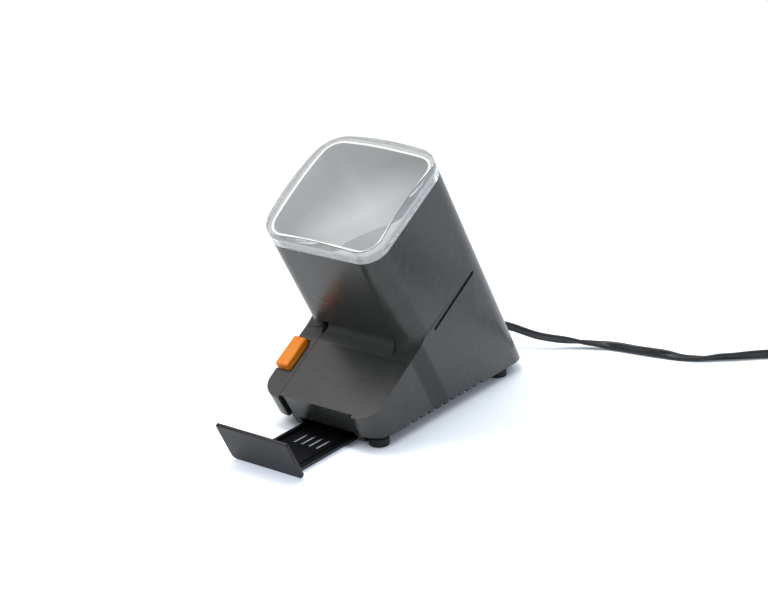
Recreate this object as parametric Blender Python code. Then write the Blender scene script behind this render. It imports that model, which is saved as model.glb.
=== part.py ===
"""Slide viewer with a pull-out tray: a tilted grey case, a clear magnifier and a mains lamp inside."""
import math

import bmesh
import bpy
from mathutils import Vector

MM = 0.001

# Gaps shared by all the pieces
GAP = 0.3 * MM
OVERRUN = 3.0 * MM
MERGE = 0.01 * MM
SHARP_ANGLE = math.radians(40)

# Case: the tilted frame has x across, u up the slope and w square to the deck
TILT = math.radians(30.5)
HALF_WIDTH = 45.0 * MM
WALL = 2.5 * MM
DECK_EDGE_Z = 25.6 * MM
FRONT_SKIN = 2.0 * MM
HEAD_FRONT = 57.0 * MM
HEAD_DEPTH = 90.0 * MM
HEAD_TOP = 79.0 * MM
BASE_Z = 8.0 * MM
BODY_CORNER = 14.0 * MM
HEAD_CORNER = 16.0 * MM
CORNER_STEPS = 8

# Coves between the deck and the head: a high one in front, a low one round its corners
COVE_INSET = 16.0 * MM
COVE_LENGTH = 9.0 * MM
COVE_RISE = 8.8 * MM
COVE_STEPS = 7
CORNER_COVE = 5.0 * MM
CORNER_COVE_STEPS = 5
POCKET_WIDTH = 6.0 * MM
POCKET_LENGTH = 5.5 * MM

# Recess that the tray's front closes
RECESS_INSET = 15.8 * MM
KEY_SLOT_WIDTH = 2.7 * MM
KEY_SLOT_LENGTH = 17.5 * MM
KEY_SLOT_TOP = 1.2 * MM
NOTCH_HEIGHT = 5.0 * MM
TAB_INSET = 1.7 * MM
TAB_WIDTH = 5.2 * MM
TAB_LOW = 1.5 * MM

# Side cover with the switch
COVER_WIDTH = 15.5 * MM

# Vent notches in the lower edge of both sides
VENT_COUNT = 10
VENT_PITCH = 8.7 * MM
VENT_WIDTH = 4.5 * MM
VENT_HEIGHT = 1.6 * MM
VENT_START = 39.0 * MM

# Slide and its gate
SLIDE_SIZE = 50.0 * MM
SLIDE_PLAY = 2.0 * MM
SLIDE_WINDOW = 36.0 * MM
SLIDE_SHIFT = 1.8 * MM
SLIDE_W = -2.0 * MM
SLOT_THICKNESS = 2.5 * MM
CHANNEL_HEIGHT = 2.9 * MM
GATE_LIP = 3.0 * MM
GATE_TOP = 1.7 * MM
GATE_BOTTOM = -6.5 * MM
GATE_STEPS = 4
LEDGE_WIDTH = 2.0 * MM
LEDGE_HEIGHT = 2.2 * MM
SPRING_WIDTH = 4.0 * MM
SPRING_LENGTH = 38.0 * MM
SPRING_RISE = 0.9 * MM
SPRING_THICKNESS = 0.35 * MM
SPRING_STEPS = 8

# Diffuser and reflector
DIFFUSER_HALF = 30.0 * MM
DIFFUSER_THICKNESS = 2.0 * MM
REFLECTOR_WALL = 1.2 * MM
REFLECTOR_FLANGE = 6.0 * MM
REFLECTOR_SEAT = 3.0 * MM
REFLECTOR_SWEEP = math.radians(164)
REFLECTOR_RADIUS = 22.0 * MM
REFLECTOR_START = -22.0 * MM
REFLECTOR_INSET = 6.5 * MM
REFLECTOR_STEPS = 12

# Lamp
LAMP_HEIGHT = 42.1 * MM
BULB_RADIUS = 11.0 * MM
BULB_LENGTH = 40.0 * MM
BULB_START = -14.0 * MM
BULB_SHARES = (
    (0.00, 0.54), (0.12, 0.60), (0.25, 0.74), (0.40, 0.92), (0.55, 1.00),
    (0.70, 0.97), (0.83, 0.82), (0.93, 0.55), (0.98, 0.28),
)
CAP_RADIUS = 6.5 * MM
CAP_LENGTH = 12.0 * MM
HOLDER_WALL = 2.2 * MM
HOLDER_LENGTH = 14.0 * MM
BRACKET_THICKNESS = 1.2 * MM
BRACKET_WIDTH = 16.0 * MM
BRACKET_FOOT = 10.0 * MM
LAMP_SIDES = 20

# Viewing hood between the gate and the lens
HOOD_WALL = 1.4 * MM
HOOD_TOP = 75.4 * MM
HOOD_THROAT = 25.0 * MM
HOOD_THROAT_CORNER = 5.0 * MM

# Magnifier cap
LIP_DEPTH = 3.2 * MM
LIP_WALL = 1.3 * MM
LENS_UNDERSIDE = 84.0 * MM
DOME_TOP = 98.6 * MM
DOME_RADIUS = 180.0 * MM
DOME_SIDES = 40
DOME_RINGS = 6

# Orange key
KEY_START = 19.8 * MM
KEY_LENGTH = 24.7 * MM
KEY_WIDTH = 10.5 * MM
KEY_RISE = 4.5 * MM
KEY_DROP = 5.0 * MM
KEY_EDGE = 1.6 * MM
KEY_EDGE_STEPS = 3
KEY_UPPER_GAP = 1.3 * MM
KEY_TRAVEL = 3.0 * MM
KEY_FLANGE = 2.0 * MM
KEY_FLANGE_HEIGHT = 1.5 * MM

# Switch under the key
SWITCH_BACK = 12.0 * MM
SWITCH_HALF = 10.0 * MM
SWITCH_TOP = -9.2 * MM
SWITCH_HEIGHT = 13.0 * MM
SWITCH_WALL = 1.2 * MM
PLUNGER_RADIUS = 1.6 * MM
PLUNGER_LENGTH = 9.5 * MM
PLUNGER_HEAD = 3.4 * MM
PLUNGER_HEAD_HEIGHT = 1.0 * MM
BRIDGE_HALF = 7.0 * MM
BRIDGE_WIDTH = 5.0 * MM
BRIDGE_THICKNESS = 0.6 * MM
BRIDGE_DROP = 2.6 * MM
CONTACT_WIDTH = 4.0 * MM
CONTACT_THICKNESS = 0.8 * MM
CONTACT_REACH = 2.6 * MM
COIL_SPRING_RADIUS = 2.3 * MM
COIL_SPRING_WIRE = 0.35 * MM
COIL_SPRING_TURNS = 5
COIL_SPRING_POINTS = 10

# Base plate
PLATE_GAP = 0.4 * MM
PLATE_LIFT = 0.2 * MM
PLATE_THICKNESS = 2.0 * MM
FLOOR_VENT_COUNT = 8
FLOOR_VENT_PITCH = 6.5 * MM
FLOOR_VENT_WIDTH = 3.0 * MM
FLOOR_VENT_LENGTH = 22.0 * MM
FLOOR_VENT_SETBACK = 69.0 * MM

# Feet, their screws and the bosses that hold them
FOOT_INSET = 10.0 * MM
FOOT_FRONT_Y = 19.5 * MM
FOOT_FRONT_LEFT_Y = 29.0 * MM
FOOT_REAR_SETBACK = 26.0 * MM
FOOT_RADIUS = 6.7 * MM
FOOT_NECK = 5.8 * MM
FOOT_STEP_Z = 5.4 * MM
FOOT_EDGE = 0.6 * MM
FOOT_SIDES = 24
BOSS_RADIUS = 4.0 * MM
BOSS_FRONT_TOP = 15.6 * MM
BOSS_WEB = 1.6 * MM
BOSS_REAR_TOP = 60.0 * MM
SCREW_RADIUS = 1.5 * MM
SCREW_HEAD = 2.8 * MM
SCREW_HEAD_HEIGHT = 1.8 * MM
SCREW_RECESS = 2.4 * MM
SCREW_LENGTH = 10.0 * MM
SCREW_SPARE = 0.7 * MM
SCREW_SIDES = 12

# Tray: y is counted from the deck's edge
TRAY_TILT = math.radians(28.0)
TRAY_FOOT_Y = -48.9 * MM
TRAY_FOOT_Z = 0.5 * MM
FRONT_PLAY = 0.9 * MM
FRONT_HEIGHT = 31.9 * MM
FRONT_THICKNESS = 2.4 * MM
FRONT_CORNER = 3.0 * MM
FRONT_TOP_CORNER = 1.2 * MM
TONGUE_PLAY = 1.0 * MM
TONGUE_LOW = 1.5 * MM
TONGUE_FLOOR = 2.6 * MM
TONGUE_RAIL_TOP = 3.6 * MM
TONGUE_RAIL = 2.6 * MM
TONGUE_GROOVE = 4.2 * MM
TONGUE_GROOVE_DEPTH = 0.7 * MM
TONGUE_END = 25.0 * MM
EAR_REACH = 3.2 * MM
EAR_LENGTH = 7.4 * MM
UPSTAND_INSET = 2.3 * MM
UPSTAND_TOP = 7.3 * MM
UPSTAND_THICKNESS = 1.6 * MM
SLIT_COUNT = 4
SLIT_PITCH = 6.0 * MM
SLIT_WIDTH = 2.2 * MM
SLIT_START = -12.7 * MM
SLIT_LENGTH = 15.4 * MM

# Runners under the base plate
RUNNER_WEB = 2.1 * MM
RUNNER_GRIP = 2.7 * MM
RUNNER_PLAY = 0.4 * MM
RUNNER_FLANGE = 0.8 * MM
RUNNER_END = 92.0 * MM

# Strain relief and what holds the flex inside
CORD_RADIUS = 2.8 * MM
GLAND_X = 6.0 * MM
GLAND_Z = 23.0 * MM
GLAND_NECK = 4.2 * MM
GLAND_COLLAR = 6.2 * MM
GLAND_COLLAR_WIDTH = 2.0 * MM
GLAND_SLEEVE = 9.0 * MM
GLAND_TIP = 3.3 * MM
GLAND_SIDES = 16
TERMINAL_WIDTH = 24.0 * MM
TERMINAL_DEPTH = 11.0 * MM
TERMINAL_HEIGHT = 9.0 * MM
TERMINAL_SETBACK = 16.0 * MM
TERMINAL_BORE = 1.6 * MM
TERMINAL_SHARES = (-0.25, 0.25)
CLAMP_WIDTH = 22.0 * MM
CLAMP_DEPTH = 6.0 * MM
CLAMP_HEIGHT = 9.5 * MM
CLAMP_SETBACK = 28.1 * MM
CLAMP_CORD_Z = 15.4 * MM
CLAMP_SCREW_RADIUS = 1.0 * MM
CLAMP_SCREW_HEAD = 1.9 * MM
CLAMP_SCREW_HEAD_HEIGHT = 1.4 * MM
CLAMP_SCREW_EDGE = 3.0 * MM
WIRE_RADIUS = 0.9 * MM
WIRE_STEP = 4.5 * MM

# Flex outside: places as they lie, y counted from the deck's edge
CORD_STEP = 12.0 * MM
COIL_CENTRE_X = 237.0 * MM
COIL_CENTRE_Y = 275.0 * MM
COIL_OUTER = 40.6 * MM
COIL_PITCH = 6.2 * MM
COIL_START_ANGLE = math.radians(126.0)
COIL_TURN_ANGLE = math.radians(106.0 + 6 * 360.0)
COIL_POINTS_PER_TURN = 24
COIL_LIFT = 1.25 * MM
COIL_CLIMB_TURNS = 0.5
COIL_TAIL_OUT = 14.0 * MM
COIL_TAIL_LENGTH = 26.0 * MM
TIE_WIDTH = 6.0 * MM
TIE_THICKNESS = 0.8 * MM
TIE_ANGLE = math.radians(270.0)
TIE_PLAY = 0.6 * MM

# Plug
PLUG_WIDTH = 34.0 * MM
PLUG_NECK_WIDTH = 12.0 * MM
PLUG_THICKNESS = 13.6 * MM
PLUG_NECK_THICKNESS = 9.0 * MM
PLUG_LENGTH = 34.0 * MM
PLUG_SHOULDER = 12.0 * MM
PLUG_SLEEVE = 14.0 * MM
PLUG_SLEEVE_RADIUS = 3.6 * MM
PLUG_SLEEVE_WIDE = 4.1 * MM
PLUG_CORNER_SHARE = 0.3
PIN_RADIUS = 2.0 * MM
PIN_LENGTH = 19.0 * MM
PIN_SPACING = 19.0 * MM
PIN_SIDES = 12

# The flex, point by point, from its gland to where its coil begins
CORD_ROUTE = [
    (0.0090, 0.1950, 0.0200),
    (0.0180, 0.2035, 0.0150),
    (0.0345, 0.2115, 0.0095),
    (0.0570, 0.2270, 0.0050),
    (0.0760, 0.2360, 0.0032),
    (0.1010, 0.2395, 0.0029),
    (0.1330, 0.2485, 0.0029),
    (0.1560, 0.2640, 0.0029),
    (0.1780, 0.2820, 0.0031),
]

# Worked out from the sizes above
SIN, COS = math.sin(TILT), math.cos(TILT)
BACK = HEAD_FRONT + HEAD_DEPTH
SLIDE_U = HEAD_FRONT + HEAD_DEPTH / 2 + SLIDE_SHIFT
LAMP_W = (LAMP_HEIGHT - DECK_EDGE_Z - SLIDE_U * SIN) / COS
HOLDER_RADIUS = CAP_RADIUS + GAP + HOLDER_WALL
INNER_HALF = HALF_WIDTH - WALL
COVER_SEAM = HALF_WIDTH - COVER_WIDTH
COVE_HALF = HALF_WIDTH - COVE_INSET
FOOT_X = HALF_WIDTH - FOOT_INSET
RECESS_HALF = HALF_WIDTH - RECESS_INSET
FRONT_HALF = RECESS_HALF - FRONT_PLAY
TAB_OUTER = RECESS_HALF - TAB_INSET
TAB_INNER = TAB_OUTER - TAB_WIDTH
TONGUE_HALF = TAB_INNER - TONGUE_PLAY
UPSTAND_HALF = TONGUE_HALF - UPSTAND_INSET
RUNNER_INNER = TONGUE_HALF - RUNNER_GRIP
RUNNER_WEB_X = TONGUE_HALF + EAR_REACH + RUNNER_PLAY
DOME_REACH = math.hypot(HALF_WIDTH, HEAD_DEPTH / 2)
INNER_FRONT = WALL
INNER_BACK = BACK - WALL
PLATE_LOW = BASE_Z + PLATE_LIFT
PLATE_HIGH = PLATE_LOW + PLATE_THICKNESS
INSIDE_Z = PLATE_HIGH + GAP
BACK_BASE_Y = BACK * COS - (BASE_Z - DECK_EDGE_Z - BACK * SIN) / COS * SIN
FOOT_REAR_Y = BACK_BASE_Y - FOOT_REAR_SETBACK
FLOOR_VENT_CENTRE_Y = BACK_BASE_Y - FLOOR_VENT_SETBACK
CLAMP_Y = (BACK - (GLAND_Z - DECK_EDGE_Z) * SIN) / COS - CLAMP_SETBACK
TERMINAL_Y = CLAMP_Y - TERMINAL_SETBACK
TRAY_FRONT_Y = TRAY_FOOT_Y - FRONT_HEIGHT * math.sin(TRAY_TILT)
EDGE_Y = -(BACK_BASE_Y + TRAY_FRONT_Y) / 2


def clear_scene():
    for item in list(bpy.data.objects):
        bpy.data.objects.remove(item, do_unlink=True)


def finish(name, colour, roughness, metallic=0.0, alpha=1.0):
    """A plain Principled material of one colour."""
    material = bpy.data.materials.new(name)
    material.use_nodes = True
    shader = material.node_tree.nodes["Principled BSDF"]
    shader.inputs["Base Color"].default_value = (*colour, 1.0)
    shader.inputs["Roughness"].default_value = roughness
    shader.inputs["Metallic"].default_value = metallic
    shader.inputs["Alpha"].default_value = alpha
    return material


def tilted_frame():
    """The empty that carries all pieces square to the deck."""
    frame = bpy.data.objects.new("tilted_frame", None)
    bpy.context.scene.collection.objects.link(frame)
    frame.location = (0, EDGE_Y, DECK_EDGE_Z)
    frame.rotation_euler = (TILT, 0, 0)
    bpy.context.view_layer.update()
    return frame


def level_frame():
    """The empty that carries level pieces, with y counted from the deck's edge."""
    frame = bpy.data.objects.new("level_frame", None)
    bpy.context.scene.collection.objects.link(frame)
    frame.location = (0, EDGE_Y, 0)
    bpy.context.view_layer.update()
    return frame


def place(name, mesh, parent, material=None):
    """Links a mesh under its parent and gives it its material."""
    item = bpy.data.objects.new(name, mesh)
    bpy.context.scene.collection.objects.link(item)
    item.parent = parent
    if material is not None:
        item.data.materials.append(material)
    bpy.context.view_layer.update()
    return item


def mesh_of(points, faces):
    mesh = bpy.data.meshes.new("shape")
    mesh.from_pydata(points, [], faces)
    mesh.update()
    return mesh


def rounded(x0, x1, y0, y1, radius, steps=CORNER_STEPS):
    """A rounded rectangle, anticlockwise; radius may be one size or four, from the +x +y corner round."""
    radii = radius if isinstance(radius, tuple) else (radius,) * 4
    corners = ((x1, y1, -1, -1), (x0, y1, 1, -1), (x0, y0, 1, 1), (x1, y0, -1, 1))
    points = []
    for quarter, ((cx, cy, sx, sy), r) in enumerate(zip(corners, radii)):
        if r == 0:
            points.append((cx, cy))
            continue
        for i in range(steps + 1):
            angle = math.pi / 2 * (quarter + i / steps)
            points.append((cx + sx * r + r * math.cos(angle), cy + sy * r + r * math.sin(angle)))
    return points


def box_points(x0, x1, y0, y1):
    return [(x0, y0), (x1, y0), (x1, y1), (x0, y1)]


def spot(a, b, h, along):
    """Turns outline coordinates and a height along an axis into a point."""
    if along == "x":
        return (h, a, b)
    if along == "y":
        return (b, h, a)
    return (a, b, h)


def slab(name, outline, low, high, parent, material=None, along="z"):
    """An outline extruded from low to high along an axis."""
    count = len(outline)
    points = [spot(a, b, low, along) for a, b in outline]
    points += [spot(a, b, high, along) for a, b in outline]
    faces = [list(range(count))[::-1], list(range(count, 2 * count))]
    for i in range(count):
        j = (i + 1) % count
        faces.append([i, j, count + j, count + i])
    return place(name, mesh_of(points, faces), parent, material)


def box(name, xs, ys, zs, parent, material=None):
    return slab(name, box_points(*xs, *ys), zs[0], zs[1], parent, material)


def tube_between(name, rings, parent, material=None):
    """Rings of equal length joined one after the other, and the last to the first."""
    count = len(rings[0])
    points = [point for ring in rings for point in ring]
    faces = []
    for k in range(len(rings)):
        a, b = k * count, (k + 1) % len(rings) * count
        for i in range(count):
            j = (i + 1) % count
            faces.append([a + i, a + j, b + j, b + i])
    return place(name, mesh_of(points, faces), parent, material)


def stack(name, rings, parent, material=None):
    """Rings of equal length joined one above the other, closed at both ends."""
    count = len(rings[0])
    points = [point for ring in rings for point in ring]
    last = count * (len(rings) - 1)
    faces = [list(range(count))[::-1], list(range(last, last + count))]
    for k in range(len(rings) - 1):
        a, b = k * count, (k + 1) * count
        for i in range(count):
            j = (i + 1) % count
            faces.append([a + i, a + j, b + j, b + i])
    return place(name, mesh_of(points, faces), parent, material)


def turned(name, profile, centre, sides, parent, material=None, along="z"):
    """A profile of (radius, height) turned round an axis; a radius of 0 closes an end."""
    points = []
    rows = []
    for radius, height in profile:
        if radius == 0:
            rows.append([len(points)])
            points.append(spot(0, 0, height, along))
            continue
        rows.append(list(range(len(points), len(points) + sides)))
        for i in range(sides):
            angle = 2 * math.pi * i / sides
            points.append(spot(radius * math.cos(angle), radius * math.sin(angle), height, along))
    faces = []
    for lower, upper in zip(rows, rows[1:]):
        for i in range(sides):
            j = (i + 1) % sides
            if len(lower) == 1:
                faces.append([lower[0], upper[j], upper[i]])
            elif len(upper) == 1:
                faces.append([lower[i], lower[j], upper[0]])
            else:
                faces.append([lower[i], lower[j], upper[j], upper[i]])
    points = [tuple(Vector(p) + Vector(centre)) for p in points]
    item = place(name, mesh_of(points, faces), parent, material)
    item.data.shade_smooth()
    item.data.set_sharp_from_angle(angle=SHARP_ANGLE)
    return item


def rod(name, radius, low, high, centre, sides, parent, material=None, along="z"):
    profile = [(0, low), (radius, low), (radius, high), (0, high)]
    return turned(name, profile, centre, sides, parent, material, along)


def join(item, other, operation):
    """Applies a Boolean to item and removes the other solid."""
    bpy.context.view_layer.update()
    change = item.modifiers.new("change", "BOOLEAN")
    change.operation = operation
    change.solver = "EXACT"
    change.object = other
    graph = bpy.context.evaluated_depsgraph_get()
    mesh = bpy.data.meshes.new_from_object(item.evaluated_get(graph))
    item.modifiers.clear()
    item.data = mesh
    bpy.data.objects.remove(other, do_unlink=True)
    return item


def cut(item, *others):
    for other in others:
        join(item, other, "DIFFERENCE")
    return item


def add(item, *others):
    for other in others:
        join(item, other, "UNION")
    return item


def keep_common(item, other):
    return join(item, other, "INTERSECT")


def copy_of(item, name, material=None):
    twin = bpy.data.objects.new(name, item.data.copy())
    bpy.context.scene.collection.objects.link(twin)
    twin.parent = item.parent
    if material is not None:
        twin.data.materials.clear()
        twin.data.materials.append(material)
    bpy.context.view_layer.update()
    return twin


def trim_level(item, z, keep_above=True):
    """Cuts an object of the tilted frame by a level plane and closes the cut."""
    shape = bmesh.new()
    shape.from_mesh(item.data)
    point = (0, 0, (z - DECK_EDGE_Z) / COS)
    normal = (0, SIN, COS)
    sides = shape.verts[:] + shape.edges[:] + shape.faces[:]
    bmesh.ops.bisect_plane(
        shape, geom=sides, dist=MERGE, plane_co=point, plane_no=normal,
        clear_inner=keep_above, clear_outer=not keep_above,
    )
    rim = [edge for edge in shape.edges if edge.is_boundary]
    bmesh.ops.holes_fill(shape, edges=rim, sides=0)
    bmesh.ops.recalc_face_normals(shape, faces=shape.faces[:])
    shape.to_mesh(item.data)
    shape.free()
    return item


def smooth_route(points, step):
    """Points about one step apart on a smooth curve through the given points."""
    spots = [Vector(p) for p in points]
    ends = [2 * spots[0] - spots[1]] + spots + [2 * spots[-1] - spots[-2]]
    fine = []
    for a, b, c, d in zip(ends, ends[1:], ends[2:], ends[3:]):
        length = (c - b).length
        pieces = max(8, round(8 * length / step))
        lead = (c - a) / max((c - b).length + (b - a).length, MERGE) * length
        tail = (d - b) / max((d - c).length + (c - b).length, MERGE) * length
        for i in range(pieces):
            t = i / pieces
            fine.append(
                b * (2 * t**3 - 3 * t**2 + 1) + lead * (t**3 - 2 * t**2 + t)
                + c * (3 * t**2 - 2 * t**3) + tail * (t**3 - t**2)
            )
    fine.append(spots[-1])
    total = sum((q - p).length for p, q in zip(fine, fine[1:]))
    count = max(2, round(total / step))
    route = [fine[0]]
    walked = 0
    for p, q in zip(fine, fine[1:]):
        part = (q - p).length
        while len(route) < count and walked + part >= total * len(route) / count:
            share = (total * len(route) / count - walked) / part
            route.append(p.lerp(q, share))
        walked += part
    route.append(fine[-1])
    return route


def straight_ended(points, step):
    """A smooth route that keeps its first and its last stretch straight."""
    route = smooth_route(points, step)
    first, last = Vector(points[1]), Vector(points[-2])
    clear_start = (first - route[0]).length + step / 4
    clear_end = (last - route[-1]).length + step / 4
    middle = [
        p for p in route
        if (p - route[0]).length > clear_start and (p - route[-1]).length > clear_end
    ]
    return [route[0], first] + middle + [last, route[-1]]


def tube(name, points, radius, detail, material, parent=None):
    """A round tube with closed ends along the points."""
    curve = bpy.data.curves.new(name, "CURVE")
    curve.dimensions = "3D"
    spline = curve.splines.new("POLY")
    spline.points.add(len(points) - 1)
    for target, point in zip(spline.points, points):
        target.co = (*point, 1)
    curve.bevel_depth = radius
    curve.bevel_resolution = detail
    curve.use_fill_caps = True
    curve.materials.append(material)
    item = bpy.data.objects.new(name, curve)
    bpy.context.scene.collection.objects.link(item)
    item.parent = parent
    bpy.context.view_layer.update()
    return item


def path_length(points):
    return sum((Vector(q) - Vector(p)).length for p, q in zip(points, points[1:]))


def least_gap(points, radius):
    """The least clear space between turns that don't follow each other."""
    ahead = COIL_POINTS_PER_TURN // 3
    least = min(
        (points[i] - points[j]).length
        for i in range(len(points))
        for j in range(i + ahead, len(points))
    )
    return least - 2 * radius


def level_to_tilted(y, z):
    """A place in the level frame, as u and w of the tilted frame."""
    rise = z - DECK_EDGE_Z
    return y * COS + rise * SIN, rise * COS - y * SIN


def tilted_to_level(u, w):
    return u * COS - w * SIN, DECK_EDGE_Z + u * SIN + w * COS


def back_wall_y(z, u=BACK):
    """Where the back wall stands at a height, in the level frame."""
    return (u - (z - DECK_EDGE_Z) * SIN) / COS


def body_solid(inset, front, back, top, low_z, tilted):
    """The body below the deck, drawn in by inset, down to a level plane."""
    rear, fore = HEAD_CORNER - inset, BODY_CORNER - inset
    sides = rounded(inset - HALF_WIDTH, HALF_WIDTH - inset, front, back, (rear, rear, fore, fore))
    deep = level_to_tilted(BACK_BASE_Y, low_z)[1] - OVERRUN
    return trim_level(slab("body", sides, deep, top, tilted), low_z)


def head_solid(inset, low, high, tilted):
    outline = head_outline(inset)
    return slab("head", outline, low, high, tilted)


def head_outline(inset):
    return rounded(
        inset - HALF_WIDTH, HALF_WIDTH - inset, HEAD_FRONT + inset, BACK - inset, HEAD_CORNER - inset,
    )


def cove_solid(tilted):
    """The deck sweeps up to the head's front wall in a hollow curve."""
    radius = (COVE_LENGTH**2 + COVE_RISE**2) / (2 * COVE_RISE)
    turn = math.asin(COVE_LENGTH / radius)
    start = HEAD_FRONT - COVE_LENGTH
    curve = []
    for i in range(COVE_STEPS + 1):
        angle = turn * i / COVE_STEPS
        curve.append((start + radius * math.sin(angle), radius * (1 - math.cos(angle))))
    outline = [(HEAD_FRONT + WALL / 2, -WALL / 2)]
    outline += [(HEAD_FRONT + WALL / 2, COVE_RISE)] + curve[::-1]
    outline += [(start, -WALL / 2)]
    cove = slab("cove", outline, -COVE_HALF, COVE_HALF, tilted, along="x")
    return add(cove, corner_cove(tilted))


def corner_cove(tilted):
    """The lower cove that follows the head's outline round both front corners."""
    radius = CORNER_COVE
    rings = [flared_outline(radius, -WALL / 2)]
    for i in range(CORNER_COVE_STEPS + 1):
        angle = math.pi / 2 * i / CORNER_COVE_STEPS
        spread = max(radius * (1 - math.sin(angle)), MERGE)
        rings.append(flared_outline(spread, radius * (1 - math.cos(angle))))
    flare = stack("corner_cove", rings, tilted)
    front = HEAD_FRONT - radius - OVERRUN
    limit = box(
        "limit", (-HALF_WIDTH, HALF_WIDTH), (front, HEAD_FRONT + HEAD_CORNER),
        (-WALL, radius + OVERRUN), tilted,
    )
    return keep_common(flare, limit)


def flared_outline(spread, w):
    return [(x, u, w) for x, u in head_outline(-spread)]


def foot_places():
    """Where the feet stand; the front left one sits further back, below the switch."""
    return (
        ("front_left", -FOOT_X, FOOT_FRONT_LEFT_Y),
        ("front_right", FOOT_X, FOOT_FRONT_Y),
        ("rear_left", -FOOT_X, FOOT_REAR_Y),
        ("rear_right", FOOT_X, FOOT_REAR_Y),
    )


def screw_hole(x, y, level):
    top = SCREW_RECESS + SCREW_HEAD_HEIGHT + SCREW_LENGTH + SCREW_SPARE
    return rod("hole", SCREW_RADIUS + GAP, 0, top, (x, y, 0), SCREW_SIDES, level)


def boss_solids(level):
    """The posts inside that the foot screws hold, each tied to its side wall by a web."""
    solids = []
    for name, x, y in foot_places():
        top = BOSS_REAR_TOP if y == FOOT_REAR_Y else BOSS_FRONT_TOP
        boss = rod("boss", BOSS_RADIUS, INSIDE_Z, top, (x, y, 0), SCREW_SIDES, level)
        near, far = sorted((x, math.copysign(HALF_WIDTH - WALL / 2, x)))
        web = box(
            "web", (near, far), (y - BOSS_WEB / 2, y + BOSS_WEB / 2),
            (INSIDE_Z + WALL / 2, top - WALL / 2), level,
        )
        solids.append(cut(add(boss, web), screw_hole(x, y, level)))
    return solids


def cavity_solid(tilted, level):
    """All the room inside the case, less its bosses and ledges."""
    room = body_solid(WALL, INNER_FRONT, INNER_BACK, -WALL, BASE_Z - OVERRUN, tilted)
    add(room, head_solid(WALL, -WALL - OVERRUN, HEAD_TOP + OVERRUN, tilted))
    cut(room, *boss_solids(level))
    for side in (-1, 1):
        near, far = sorted((side * (INNER_HALF - LEDGE_WIDTH), side * (INNER_HALF + OVERRUN)))
        reach = SLIDE_SIZE / 2 + SLIDE_PLAY / 2 + GATE_LIP
        low = GATE_BOTTOM - GAP - LEDGE_HEIGHT
        ledge = box(
            "ledge", (near, far), (SLIDE_U - reach, SLIDE_U + reach), (low, GATE_BOTTOM - GAP), tilted,
        )
        cut(room, ledge)
    return room


def recess_cutters(tilted):
    """The hollow for the tray's front, with a slot at each end and two small holes below them."""
    deep = level_to_tilted(0, -OVERRUN)[1] - DECK_EDGE_Z
    cutters = [box(
        "recess", (-RECESS_HALF, RECESS_HALF), (-FRONT_SKIN - OVERRUN, 0), (deep, OVERRUN), tilted,
    )]
    for side in (-1, 1):
        near, far = sorted((side * RECESS_HALF, side * (RECESS_HALF - KEY_SLOT_WIDTH)))
        top = -KEY_SLOT_TOP
        slot = rounded(near, far, top - KEY_SLOT_LENGTH, top, KEY_SLOT_WIDTH / 2 - MERGE, GATE_STEPS)
        slot = [(w, x) for x, w in slot][::-1]
        cutters.append(slab("key_slot", slot, -OVERRUN, WALL + OVERRUN, tilted, along="y"))
        hole_top = top - KEY_SLOT_LENGTH - WALL / 2
        hole = box(
            "hole", (near, far), (-OVERRUN, WALL + OVERRUN), (hole_top - NOTCH_HEIGHT, hole_top), tilted,
        )
        cutters.append(hole)
    return cutters


def tab_solids(tilted):
    """Two tongues of the recess wall that reach down beside the tray and stop it."""
    tabs = []
    foot = (BASE_Z - DECK_EDGE_Z) / COS
    deep = level_to_tilted(back_wall_y(0, 0), 0)[1] - OVERRUN
    for side in (-1, 1):
        near, far = sorted((side * TAB_INNER, side * TAB_OUTER))
        tab = box("tab", (near, far), (GAP, WALL - GAP), (deep, foot + OVERRUN / 2), tilted)
        tabs.append(trim_level(tab, TAB_LOW))
    return tabs


def slide_slot(tilted):
    half = SLIDE_SIZE / 2 + SLIDE_PLAY / 2
    outline = rounded(
        SLIDE_U - half, SLIDE_U + half, SLIDE_W - SLOT_THICKNESS / 2, SLIDE_W + SLOT_THICKNESS / 2,
        SLOT_THICKNESS / 2 - MERGE, GATE_STEPS,
    )
    return slab("slot", outline, INNER_HALF - OVERRUN, HALF_WIDTH + OVERRUN, tilted, along="x")


def vent_notches(level):
    notches = []
    for side in (-1, 1):
        near, far = sorted((side * (INNER_HALF - OVERRUN), side * (HALF_WIDTH + OVERRUN)))
        for i in range(VENT_COUNT):
            y = VENT_START + VENT_PITCH * i
            notches.append(box(
                "vent", (near, far), (y, y + VENT_WIDTH), (BASE_Z - OVERRUN, BASE_Z + VENT_HEIGHT), level,
            ))
    return notches


def gland_hole(level):
    sides = GLAND_SIDES
    start = back_wall_y(GLAND_Z) - WALL - OVERRUN - GLAND_NECK
    return rod(
        "hole", GLAND_NECK + GAP, start, back_wall_y(GLAND_Z) + GLAND_NECK + OVERRUN,
        (GLAND_X, 0, GLAND_Z), sides, level, along="y",
    )


def key_well(tilted):
    """The notch in the cover that the orange key moves in."""
    return box(
        "well", (-HALF_WIDTH - OVERRUN, -HALF_WIDTH + KEY_WIDTH + GAP),
        (KEY_START - GAP, KEY_START + KEY_LENGTH + KEY_UPPER_GAP),
        (-KEY_DROP - KEY_TRAVEL - GAP, OVERRUN), tilted,
    )


def pocket_solid(tilted):
    """The opening at the cove's left end, through the deck and the foot of the head's wall."""
    left, right = -COVER_SEAM - GAP / 2, -COVE_HALF + POCKET_WIDTH
    back = HEAD_FRONT + WALL + OVERRUN
    outline = [(left, back), (left, HEAD_FRONT - POCKET_LENGTH), (right, HEAD_FRONT), (right, back)]
    return slab("pocket", outline, -WALL - OVERRUN, COVE_RISE + GAP, tilted)


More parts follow.
